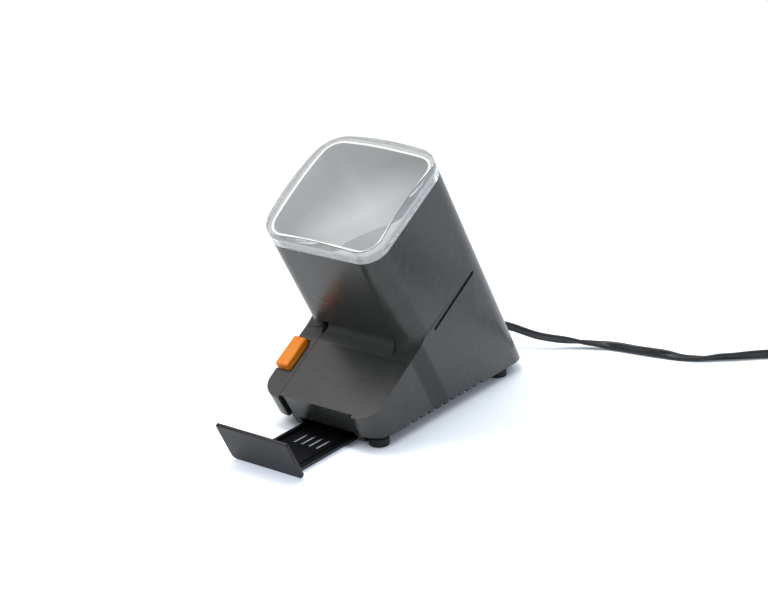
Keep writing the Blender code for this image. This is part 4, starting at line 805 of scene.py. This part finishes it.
def twist_at(travelled):
    """How far the flex is turned on its edge after a distance, in radians."""
    for (near, a), (far, b) in zip(FLEX_TWIST, FLEX_TWIST[1:]):
        if travelled <= far:
            return math.radians(a + (b - a) * eased((travelled - near) / (far - near)))
    return math.radians(FLEX_TWIST[-1][1])


def flex_section(width, thickness):
    """Two round cores side by side in one sheath, with a shallow groove between them."""
    core = thickness / 2
    middle = width / 2 - core
    points = []
    for side in (1, -1):
        for i in range(CORE_STEPS + 1):
            angle = math.pi / 2 - math.pi * i / CORE_STEPS
            points.append((side * (middle + core * math.cos(angle)), side * core * math.sin(angle)))
        points.append((side * middle * GROOVE_EDGE, -side * core * GROOVE_SHOULDER))
        points.append((0, -side * core * GROOVE_FLOOR))
        points.append((-side * middle * GROOVE_EDGE, -side * core * GROOVE_SHOULDER))
    return points


class ViewerStage(bpy.types.Operator):
    """Puts up the camera, the floor and the lights"""

    bl_idname = "slide_viewer.stage"
    bl_label = "Studio"

    def execute(self, context):
        studio = context.scene.slide_viewer_studio
        place_camera(context)
        lay_floor(studio)
        light_studio(studio)
        surround(context, studio.ambient)
        context.scene.view_settings.view_transform = "Standard"
        return {"FINISHED"}


def place_camera(context):
    data = bpy.data.cameras.new("camera")
    data.lens = LENS
    data.sensor_width = SENSOR_WIDTH
    data.clip_start, data.clip_end = 0.01, 60
    camera = new_object("camera", data)
    turn = Matrix.Rotation(CAMERA_TURN, 4, "Z") @ Matrix.Rotation(math.pi / 2 - CAMERA_RISE, 4, "X")
    roll = Matrix.Rotation(CAMERA_ROLL, 4, "Z")
    camera.matrix_world = Matrix.Translation(CAMERA_PLACE) @ turn @ roll
    context.scene.camera = camera


def lay_floor(studio):
    """A pale floor that stays white in the picture and keeps the object's shadow."""
    bpy.ops.object.select_all(action="DESELECT")
    bpy.ops.mesh.primitive_plane_add(size=FLOOR_SIZE, location=(0, 0, FLOOR_Z))
    floor = bpy.context.object
    floor.name = "floor"
    material = bpy.data.materials.new("floor")
    material.use_nodes = True
    tree = material.node_tree
    tree.nodes.remove(tree.nodes["Principled BSDF"])
    made = Nodes(tree)
    seen = made.ray_is("Camera", "Glossy", "Transmission")
    place = made.where()
    away = made.node("ShaderNodeVectorMath", {"operation": "LENGTH"}, {"Vector": place}, "Value")
    far = away.over(*FLOOR_WHITE)
    mottle = made.noise(place, 3.0)
    tone = made.blended(mottle, shade(studio.floor, 0.99), shade(studio.floor, 1.01))
    lit = made.node("ShaderNodeBsdfDiffuse", {}, {"Color": tone})
    sky = made.node("ShaderNodeAmbientOcclusion", {"samples": 8}, {"Distance": CLOSE_REACH}, "AO")
    sky = sky.over(0.1, 0.8)
    front = made.part(place, "Y").over(*FLOOR_FRONT)
    lifted = LIFT_CLOSE + (sky + front - sky * front) * LIFT_OPEN + front * LIFT_FRONT
    lift = made.node("ShaderNodeEmission", {}, {"Color": LIFT_COLOUR, "Strength": lifted})
    near = made.node("ShaderNodeAddShader", {}, {0: lit, 1: lift})
    white = made.node("ShaderNodeEmission", {}, {"Color": (1, 1, 1, 1), "Strength": 1.0})
    whole = made.mixed(seen, lit, made.mixed(far, near, white))
    made.end_in(whole, tree.nodes["Material Output"], "Surface")
    floor.data.materials.append(material)


def light_studio(studio):
    """A soft panel overhead, brightest along its near edge, and two fills."""
    panel = add_light("panel", PANEL_PLACE, PANEL_SIZE, studio.panel_power, PANEL_COLOUR)
    panel.rotation_euler = (0, 0, PANEL_TURN)
    panel.data.use_nodes = True
    graded = Nodes(panel.data.node_tree)
    across = graded.part(graded.node("ShaderNodeNewGeometry", {}, {}, "Parametric"), "Y")
    strength = PANEL_LEAST + across.over(PANEL_DARK, PANEL_BRIGHT) * PANEL_GAIN
    graded.end_in(strength, graded.tree.nodes["Emission"], "Strength")
    for name, place, power, colour in (
        ("right_fill", (2.0, 0.3, 0.9), studio.fill_power, (0.66, 0.86, 1.0)),
        ("back_fill", (0.5, 1.2, 2.0), studio.back_power, (1.0, 1.0, 1.0)),
    ):
        light = add_light(name, place, FILL_SIZE, power, colour)
        light.rotation_euler = (FILL_AIM - Vector(place)).to_track_quat("-Z", "Y").to_euler()


def surround(context, ambient):
    """A dim, bluish world that shows white in the picture."""
    world = bpy.data.worlds.new("studio")
    context.scene.world = world
    world.use_nodes = True
    made = Nodes(world.node_tree)
    seen = made.ray_is("Camera", "Transmission")
    dim = made.node("ShaderNodeBackground", {}, {"Color": (0.82, 0.93, 1.0, 1), "Strength": ambient})
    white = made.node("ShaderNodeBackground", {}, {"Color": (1, 1, 1, 1), "Strength": 1.0})
    made.end_in(made.mixed(seen, dim, white), made.tree.nodes["World Output"], "Surface")


def add_light(name, place, size, power, colour):
    data = bpy.data.lights.new(name, "AREA")
    data.shape = "RECTANGLE"
    data.size, data.size_y = size
    data.energy = power
    data.color = colour
    light = new_object(name, data)
    light.location = place
    return light


class ViewerFlex(bpy.types.Operator):
    """Lays the flat flex in its coil, with its strain relief, tie and plug"""

    bl_idname = "slide_viewer.flex"
    bl_label = "Flex and plug"

    def execute(self, context):
        colours = context.scene.slide_viewer_finishes
        sizes = context.scene.slide_viewer_sizes
        moulded = satin_plastic("flex_fittings", colours.flex, roughness=0.45, grain=0.15)
        plated = metal("plug_pins", (0.72, 0.70, 0.66), 0.22, (0.45, 0.43, 0.40))
        gland = settle(shape_gland(), "viewer", moulded, "black_plastic", "cord_gland")
        plug = settle(rounded("plug", PLUG_EDGE, angle=30), "viewer", moulded, "flex_black", "plug")
        pins = [
            settle(rounded(node, PIN_EDGE), "viewer", plated, "brass", node)
            for node in ("plug_pin_a", "plug_pin_b")
        ]
        tie = softened("cord_tie", TIE_EDGE, segments=2, angle=50)
        settle(tie, "viewer", rubber("tie_black", (0.012, 0.012, 0.013)), "black_plastic", "cord_tie")
        flex, line = sweep_flex(sizes.flex_width, sizes.flex_thickness)
        settle(flex, "viewer", flex_sheath(colours.flex), "flex_black", "power_cord", "cord_coil")
        return {"FINISHED"}


def laid_line(width, thickness):
    """The flex's line as it lies, with each point's distance along it and turn on its edge."""
    line, free = flex_line()
    travelled = [0.0]
    for p, q in zip(line, line[1:]):
        travelled.append(travelled[-1] + (q - p).length)
    turns = [twist_at(d) for d in travelled]
    rest_from = next(i for i, p in enumerate(line) if p.z < FLEX_LOW)
    for i in range(rest_from, free):
        half = math.hypot(width / 2 * math.sin(turns[i]), thickness / 2 * math.cos(turns[i]))
        settled = eased(min(i - rest_from, free - i) / FLEX_SETTLING)
        line[i].z += (half + FLEX_REST - line[i].z) * settled
        line[i].z = max(line[i].z, half + FLEX_REST)
    return line, travelled, turns


def swept(section, line, turns):
    """The points and faces of a section that follows a line and turns on its edge along it."""
    points, faces, around = [], [], len(section)
    for i, p in enumerate(line):
        ahead = (line[min(i + 1, len(line) - 1)] - line[max(i - 1, 0)]).normalized()
        side = ahead.cross(Vector((0, 0, 1))).normalized()
        up = side.cross(ahead)
        c, s = math.cos(turns[i]), math.sin(turns[i])
        wide, thin = side * c + up * s, up * c - side * s
        points += [p + wide * a + thin * b for a, b in section]
    for i in range(len(line) - 1):
        for k in range(around):
            n = (k + 1) % around
            faces.append((i * around + k, (i + 1) * around + k, (i + 1) * around + n, i * around + n))
    faces += [tuple(range(around))[::-1], tuple(range((len(line) - 1) * around, len(line) * around))]
    return points, faces


def sweep_flex(width, thickness):
    """The flat flex with its texture laid along it, and its line."""
    line, travelled, turns = laid_line(width, thickness)
    section = flex_section(width, thickness)
    around = len(section)
    mesh = bpy.data.meshes.new("power_flex")
    points, faces = swept(section, line, turns)
    mesh.from_pydata(points, [], faces)
    layer = mesh.uv_layers.new(name="flex")
    for face in mesh.polygons:
        for corner in face.loop_indices:
            vertex = mesh.loops[corner].vertex_index
            ring, k = divmod(vertex, around)
            if k == 0 and len(face.vertices) == 4 and (around - 1 + ring * around) in face.vertices:
                k = around
            layer.data[corner].uv = (travelled[ring] * FLEX_TILES_PER_METRE, k / around)
    flex = new_object("power_flex", mesh)
    start_shaping(flex, "FACE")
    face_outwards()
    end_shaping()
    smooth(flex, 50)
    return flex, line


def shape_gland():
    """A plate on each side of the wall, then a ribbed sleeve that tapers to the flex."""
    low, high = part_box("cord_gland")
    centre = Vector((GLAND_X, 0, GLAND_Z))
    wall_inner = low.y + GLAND_PLATE
    sleeve_start = high.y - GLAND_SLEEVE
    wall_outer = sleeve_start - GLAND_PLATE
    steps = [
        (wall_inner, PLATE_RADIUS), (wall_inner, NECK_RADIUS), (wall_outer, NECK_RADIUS),
        (wall_outer, PLATE_RADIUS), (sleeve_start - GLAND_CHAMFER, PLATE_RADIUS),
        (sleeve_start, CHAMFER_RADIUS), (sleeve_start, ROOT_RADIUS),
    ]
    for i in range(RIBS):
        start = sleeve_start + GLAND_SLEEVE * i / RIBS
        outer = RIB_RADIUS - RIB_TAPER * i / RIBS
        steps += [(start + along, outer - inwards) for along, inwards in RIB_CORNERS]
    steps[-1] = (high.y, END_RADIUS)
    piece = disc("cord_gland_made", centre, PLATE_RADIUS, sides=32)
    start_shaping(piece, "FACE")
    bpy.ops.mesh.select_all(action="SELECT")
    bpy.ops.transform.rotate(value=math.pi / 2, orient_axis="X", center_override=tuple(centre))
    bpy.ops.transform.translate(value=(0, low.y, 0))
    at, radius = low.y, PLATE_RADIUS
    for y, wanted in steps:
        extrude((0, y - at, 0))
        grow((wanted / radius, 1, wanted / radius), (centre.x, y, centre.z))
        at, radius = y, wanted
    face_outwards()
    end_shaping()
    close_ends(piece)
    round_edges(piece, GLAND_EDGE, segments=2)
    smooth(piece, 40)
    return piece


def close_ends(piece):
    """Fills any open end and turns all the faces outwards."""
    start_shaping(piece, "EDGE")
    bpy.ops.mesh.select_non_manifold(
        extend=False, use_wire=False, use_multi_face=False, use_non_contiguous=False, use_verts=False,
    )
    shape = bmesh.from_edit_mesh(piece.data)
    if any(edge.select for edge in shape.edges):
        bpy.ops.mesh.edge_face_add()
    face_outwards()
    end_shaping()


class ViewerCase(bpy.types.Operator):
    """Shapes the case and its side cover with soft moulded edges"""

    bl_idname = "slide_viewer.case"
    bl_label = "Case"

    def execute(self, context):
        colours = context.scene.slide_viewer_finishes
        sizes = context.scene.slide_viewer_sizes
        grey = satin_plastic(
            "case_grey", colours.case, roughness=0.27, grain=0.06, paler_edges=0.25, specular=0.35, cove=0.35,
        )
        for node in ("housing", "switch_side_cover"):
            settle(softened(node, sizes.case_edge), "viewer", grey, "case_grey", node)
        return {"FINISHED"}


class ViewerMagnifier(bpy.types.Operator):
    """Models the clear domed cap, and the pale hood below it"""

    bl_idname = "slide_viewer.magnifier"
    bl_label = "Magnifier"

    def execute(self, context):
        colours = context.scene.slide_viewer_finishes
        sizes = context.scene.slide_viewer_sizes
        cap = shape_cap(sizes.rim_edge)
        settle(cap, "viewer", clear_acrylic(), "clear_acrylic", "magnifier_lens")
        cap.visible_shadow = False
        dim_glint(context, cap)
        hood = shape_hood()
        settle(hood, "viewer", pale_lining(colours.lining), "pale_lining", "viewing_hood")
        return {"FINISHED"}


def dim_glint(context, cap):
    """Keeps the strong panel's light off the cap, and lets a weak copy of it shine on the cap alone."""
    strong = context.scene.objects["panel"]
    weak = strong.copy()
    weak.name = "panel_glint"
    weak.data = strong.data.copy()
    weak.data.energy *= GLINT_SHARE
    context.scene.collection.objects.link(weak)
    for light, state in ((strong, "EXCLUDE"), (weak, "INCLUDE")):
        lit = bpy.data.collections.new(light.name + "_and_cap")
        lit.objects.link(cap)
        light.light_linking.receiver_collection = lit
        lit.collection_objects[0].light_linking.link_state = state


def shape_cap(edge):
    """The square cap: a skirt round a thick lens, domed to its edges."""
    piece = head_block("magnifier_cap", 0, CAP_LOW, CAP_TOP)
    start_shaping(piece, "FACE")
    pick(piece, "faces", lambda face: face.normal.z < -FACING)
    bpy.ops.mesh.inset(thickness=CAP_WALL, depth=0)
    extrude((0, 0, LENS_UNDERSIDE - CAP_LOW))
    cells = round(HALF_WIDTH / LENS_CELL)
    for i in range(1 - cells, cells):
        for across in ((1, 0, 0), (0, 1, 0)):
            bpy.ops.mesh.select_all(action="SELECT")
            place = Vector((0, HEAD_MID, 0)) + Vector(across) * i * LENS_CELL
            bpy.ops.mesh.bisect(plane_co=tuple(place), plane_no=across)
    end_shaping()
    for vertex in piece.data.vertices:
        reach = math.hypot(vertex.co.x, vertex.co.y - HEAD_MID)
        if abs(vertex.co.z - CAP_TOP) < TINY:
            vertex.co.z = LENS_TOP - LENS_RADIUS + math.sqrt(LENS_RADIUS**2 - reach**2)
    piece.data.transform(SLOPE)
    smooth(piece)
    round_edges(piece, edge, segments=4)
    return piece


def head_block(name, inset, low, high):
    """A solid with the head's square outline and rounded corners, some way in from its sides."""
    half = HALF_WIDTH - inset
    piece = block(name, (-half, HEAD_MID - half, low), (half, HEAD_MID + half, high))
    start_shaping(piece, "EDGE")
    pick(piece, "edges", lambda edge: abs(edge.verts[0].co.z - edge.verts[1].co.z) > (high - low) / 2)
    bpy.ops.mesh.bevel(offset=HEAD_CORNER - inset, segments=CORNER_SEGMENTS, affect="EDGES")
    end_shaping()
    return piece


def shape_hood():
    """The pale funnel with its collar under the lens, and the thin seat that the cap stands on."""
    piece = head_block("viewing_hood_made", HOOD_INSET, HOOD_LOW, COLLAR_TOP)
    start_shaping(piece, "FACE")
    bpy.ops.mesh.select_all(action="SELECT")
    bpy.ops.mesh.bisect(plane_co=(0, 0, HOOD_TOP), plane_no=(0, 0, 1))
    pick(piece, "faces", lambda face: face.normal.z < -FACING)
    share = HOOD_THROAT / (HALF_WIDTH - HOOD_INSET)
    grow((share, share, 1), (0, HEAD_MID, HOOD_LOW))
    pick(piece, "faces", lambda face: face.normal.z > FACING)
    bpy.ops.mesh.inset(thickness=COLLAR_WIDTH, depth=0)
    extrude((0, 0, HOOD_LOW - COLLAR_TOP))
    share = (HOOD_THROAT - HOOD_WALL) / (HALF_WIDTH - HOOD_INSET - COLLAR_WIDTH)
    grow((share, share, 1), (0, HEAD_MID, HOOD_LOW))
    pick(piece, "faces", lambda face: abs(face.normal.z) > FACING and height_of(face) < HOOD_LOW + MM)
    bpy.ops.mesh.bridge_edge_loops()
    end_shaping()
    seat_mid = (HEAD_TOP + CAP_LOW) / 2
    seat = head_block("seat", SEAT_INSET, seat_mid - SEAT_THICKNESS / 2, seat_mid + SEAT_THICKNESS / 2)
    start_shaping(seat, "FACE")
    pick(seat, "faces", lambda face: abs(face.normal.z) > FACING)
    bpy.ops.mesh.inset(thickness=HOOD_INSET, depth=0)
    bpy.ops.mesh.bridge_edge_loops()
    end_shaping()
    choose(piece)
    seat.select_set(True)
    bpy.ops.object.join()
    piece.data.transform(SLOPE)
    smooth(piece)
    return piece


class ViewerKey(bpy.types.Operator):
    """Models the orange key with its rounded edges and its inner flange"""

    bl_idname = "slide_viewer.key"
    bl_label = "Key"

    def execute(self, context):
        colours = context.scene.slide_viewer_finishes
        sizes = context.scene.slide_viewer_sizes
        right = -HALF_WIDTH + KEY_WIDTH
        piece = block(
            "lamp_key", (-HALF_WIDTH, KEY_START, -KEY_DROP), (right, KEY_START + KEY_LENGTH, KEY_RISE),
        )
        round_edges(piece, sizes.key_edge, segments=5)
        start_shaping(piece, "FACE")
        for height in (KEY_FLANGE_LOW, KEY_FLANGE_HIGH):
            bpy.ops.mesh.select_all(action="SELECT")
            bpy.ops.mesh.bisect(plane_co=(0, 0, height), plane_no=(0, 0, 1))
        pick(piece, "faces", lambda face: (
            face.normal.x > KEY_FACING and KEY_FLANGE_LOW < height_of(face) < KEY_FLANGE_HIGH
        ))
        extrude((KEY_FLANGE, 0, 0))
        end_shaping()
        piece.data.transform(SLOPE)
        smooth(piece, 40)
        settle(piece, "key", key_plastic(colours.key), "key_orange", "switch_button")
        return {"FINISHED"}


class ViewerTray(bpy.types.Operator):
    """Shapes the tray and its grey front plate"""

    bl_idname = "slide_viewer.tray"
    bl_label = "Tray"

    def execute(self, context):
        colours = context.scene.slide_viewer_finishes
        sizes = context.scene.slide_viewer_sizes
        plate = softened("tray_front", sizes.plate_edge)
        grey = satin_plastic("tray_grey", colours.tray_front, paler_edges=0.2, specular=0.24)
        settle(plate, "slide_tray", grey, "tray_grey", "tray_front")
        tray = softened("tray", TRAY_EDGE)
        black = satin_plastic(
            "tray_black", colours.tray, roughness=0.36, grain=0.10, paler_edges=0.2, specular=0.25,
        )
        settle(tray, "slide_tray", black, "black_plastic", "tray")
        return {"FINISHED"}


class ViewerFeet(bpy.types.Operator):
    """Models one stepped rubber foot and copies it to all four places"""

    bl_idname = "slide_viewer.feet"
    bl_label = "Feet"

    def execute(self, context):
        colours = context.scene.slide_viewer_finishes
        material = rubber("foot_rubber", colours.rubber)
        pattern = shape_foot()
        for node, (x, y) in FOOT_PLACES.items():
            foot = new_object(node + "_made", pattern.data.copy())
            foot.data.transform(LEVEL @ Matrix.Translation((x, y, 0)))
            settle(foot, "viewer", material, "foot_rubber", node)
        bpy.data.objects.remove(pattern)
        return {"FINISHED"}


def shape_foot():
    """A stepped round foot with the screw's well in its underside, at the origin."""
    foot = disc("foot", (0, 0, 0), FOOT_RADIUS, sides=40)
    start_shaping(foot, "FACE")
    bpy.ops.mesh.select_all(action="SELECT")
    extrude((0, 0, FOOT_STEP_Z))
    extrude((0, 0, 0))
    grow((FOOT_NECK / FOOT_RADIUS, FOOT_NECK / FOOT_RADIUS, 1), (0, 0, FOOT_STEP_Z))
    extrude((0, 0, FOOT_TOP_Z - FOOT_STEP_Z))
    end_shaping()
    close_ends(foot)
    start_shaping(foot, "FACE")
    pick(foot, "faces", lambda face: abs(face.normal.z) > FACING and height_of(face) < TINY)
    bpy.ops.mesh.inset(thickness=FOOT_RADIUS - FOOT_WELL, depth=0)
    extrude((0, 0, FOOT_WELL_TOP))
    end_shaping()
    round_edges(foot, FOOT_EDGE)
    smooth(foot, 40)
    return foot


class ViewerInside(bpy.types.Operator):
    """Gives the pieces inside and below their finishes"""

    bl_idname = "slide_viewer.inside"
    bl_label = "Inner pieces"

    def execute(self, context):
        colours = context.scene.slide_viewer_finishes
        dress(
            satin_plastic("black_plastic", colours.tray), "base_plate", "tray_runner_left",
            "tray_runner_right", "switch_body", "switch_plunger",
        )
        dress(plain_plastic("gate_pale", shade(colours.lining, 1.6), 0.50), "slide_gate")
        dress(plain_plastic("opal_plastic", (0.85, 0.85, 0.83), 0.45, 0.2), "diffuser")
        dress(plain_plastic("white_plastic", (0.80, 0.80, 0.78), 0.40), "reflector")
        dress(
            plain_plastic("ivory_plastic", (0.72, 0.68, 0.56), 0.35),
            "lamp_holder", "terminal_block", "cord_clamp",
        )
        steel = metal("zinc_steel", (0.62, 0.63, 0.64), 0.30, (0.40, 0.41, 0.42))
        screws = [node.replace("foot_", "foot_screw_") for node in FOOT_PLACES]
        dress(
            steel, "lamp_bracket", *screws, "clamp_screw_left", "clamp_screw_right",
            "slide_spring_front", "slide_spring_rear",
        )
        dress(
            metal("brass", (0.78, 0.57, 0.25), 0.25, (0.45, 0.31, 0.13)),
            "contact_bridge", "contact_front", "contact_rear", "lamp_cap",
        )
        dress(bulb_glass(), "lamp_bulb")
        dress(plain_plastic("wire_black", (0.02, 0.02, 0.02), 0.40), "wire_live", "cord_tail")
        dress(plain_plastic("wire_blue", (0.05, 0.15, 0.50), 0.40), "wire_neutral")
        dress(plain_plastic("wire_brown", (0.20, 0.08, 0.03), 0.40), "wire_switched")
        shape_spring(steel)
        return {"FINISHED"}


def dress(material, *nodes):
    """Gives nodes that keep their solids a material."""
    for node in nodes:
        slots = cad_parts[node].data.materials
        slots.clear()
        slots.append(material)


def shape_spring(steel):
    """The spring below the key, which shortens by the key's travel in the real viewer; here it keeps its
    shape and gets a mesh of its own.
    """
    spring = copy_of("switch_spring")
    smooth(spring)
    settle(spring, "viewer", steel, "zinc_steel", "switch_spring")
    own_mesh(spring)


class ViewerPanel(bpy.types.Panel):
    """The slide viewer's pieces, in the order in which they are made"""

    bl_idname = "VIEW3D_PT_slide_viewer"
    bl_label = "Slide viewer"
    bl_space_type = "VIEW_3D"
    bl_region_type = "UI"
    bl_category = "Slide viewer"

    def draw(self, context):
        for step in STEPS:
            self.layout.operator(step.bl_idname)
        for group in GROUPS:
            settings = getattr(context.scene, group)
            for name in settings.__annotations__:
                self.layout.prop(settings, name)


GROUPS = {
    "slide_viewer_finishes": ViewerFinishes,
    "slide_viewer_sizes": ViewerSizes,
    "slide_viewer_studio": StudioSettings,
}
STEPS = (
    ViewerStage, ViewerFlex, ViewerCase, ViewerMagnifier, ViewerKey, ViewerTray, ViewerFeet,
    ViewerInside,
)


def register():
    for name, group in GROUPS.items():
        bpy.utils.register_class(group)
        setattr(bpy.types.Scene, name, PointerProperty(type=group))
    for step in (*STEPS, ViewerPanel):
        bpy.utils.register_class(step)


def unregister():
    for step in reversed((*STEPS, ViewerPanel)):
        bpy.utils.unregister_class(step)
    for name, group in GROUPS.items():
        delattr(bpy.types.Scene, name)
        bpy.utils.unregister_class(group)


def main():
    register()
    bpy.ops.slide_viewer.stage()
    bpy.ops.slide_viewer.flex()
    bpy.ops.slide_viewer.case()
    bpy.ops.slide_viewer.magnifier()
    bpy.ops.slide_viewer.key()
    bpy.ops.slide_viewer.tray()
    bpy.ops.slide_viewer.feet()
    bpy.ops.slide_viewer.inside()


if __name__ == "__main__":
    main()
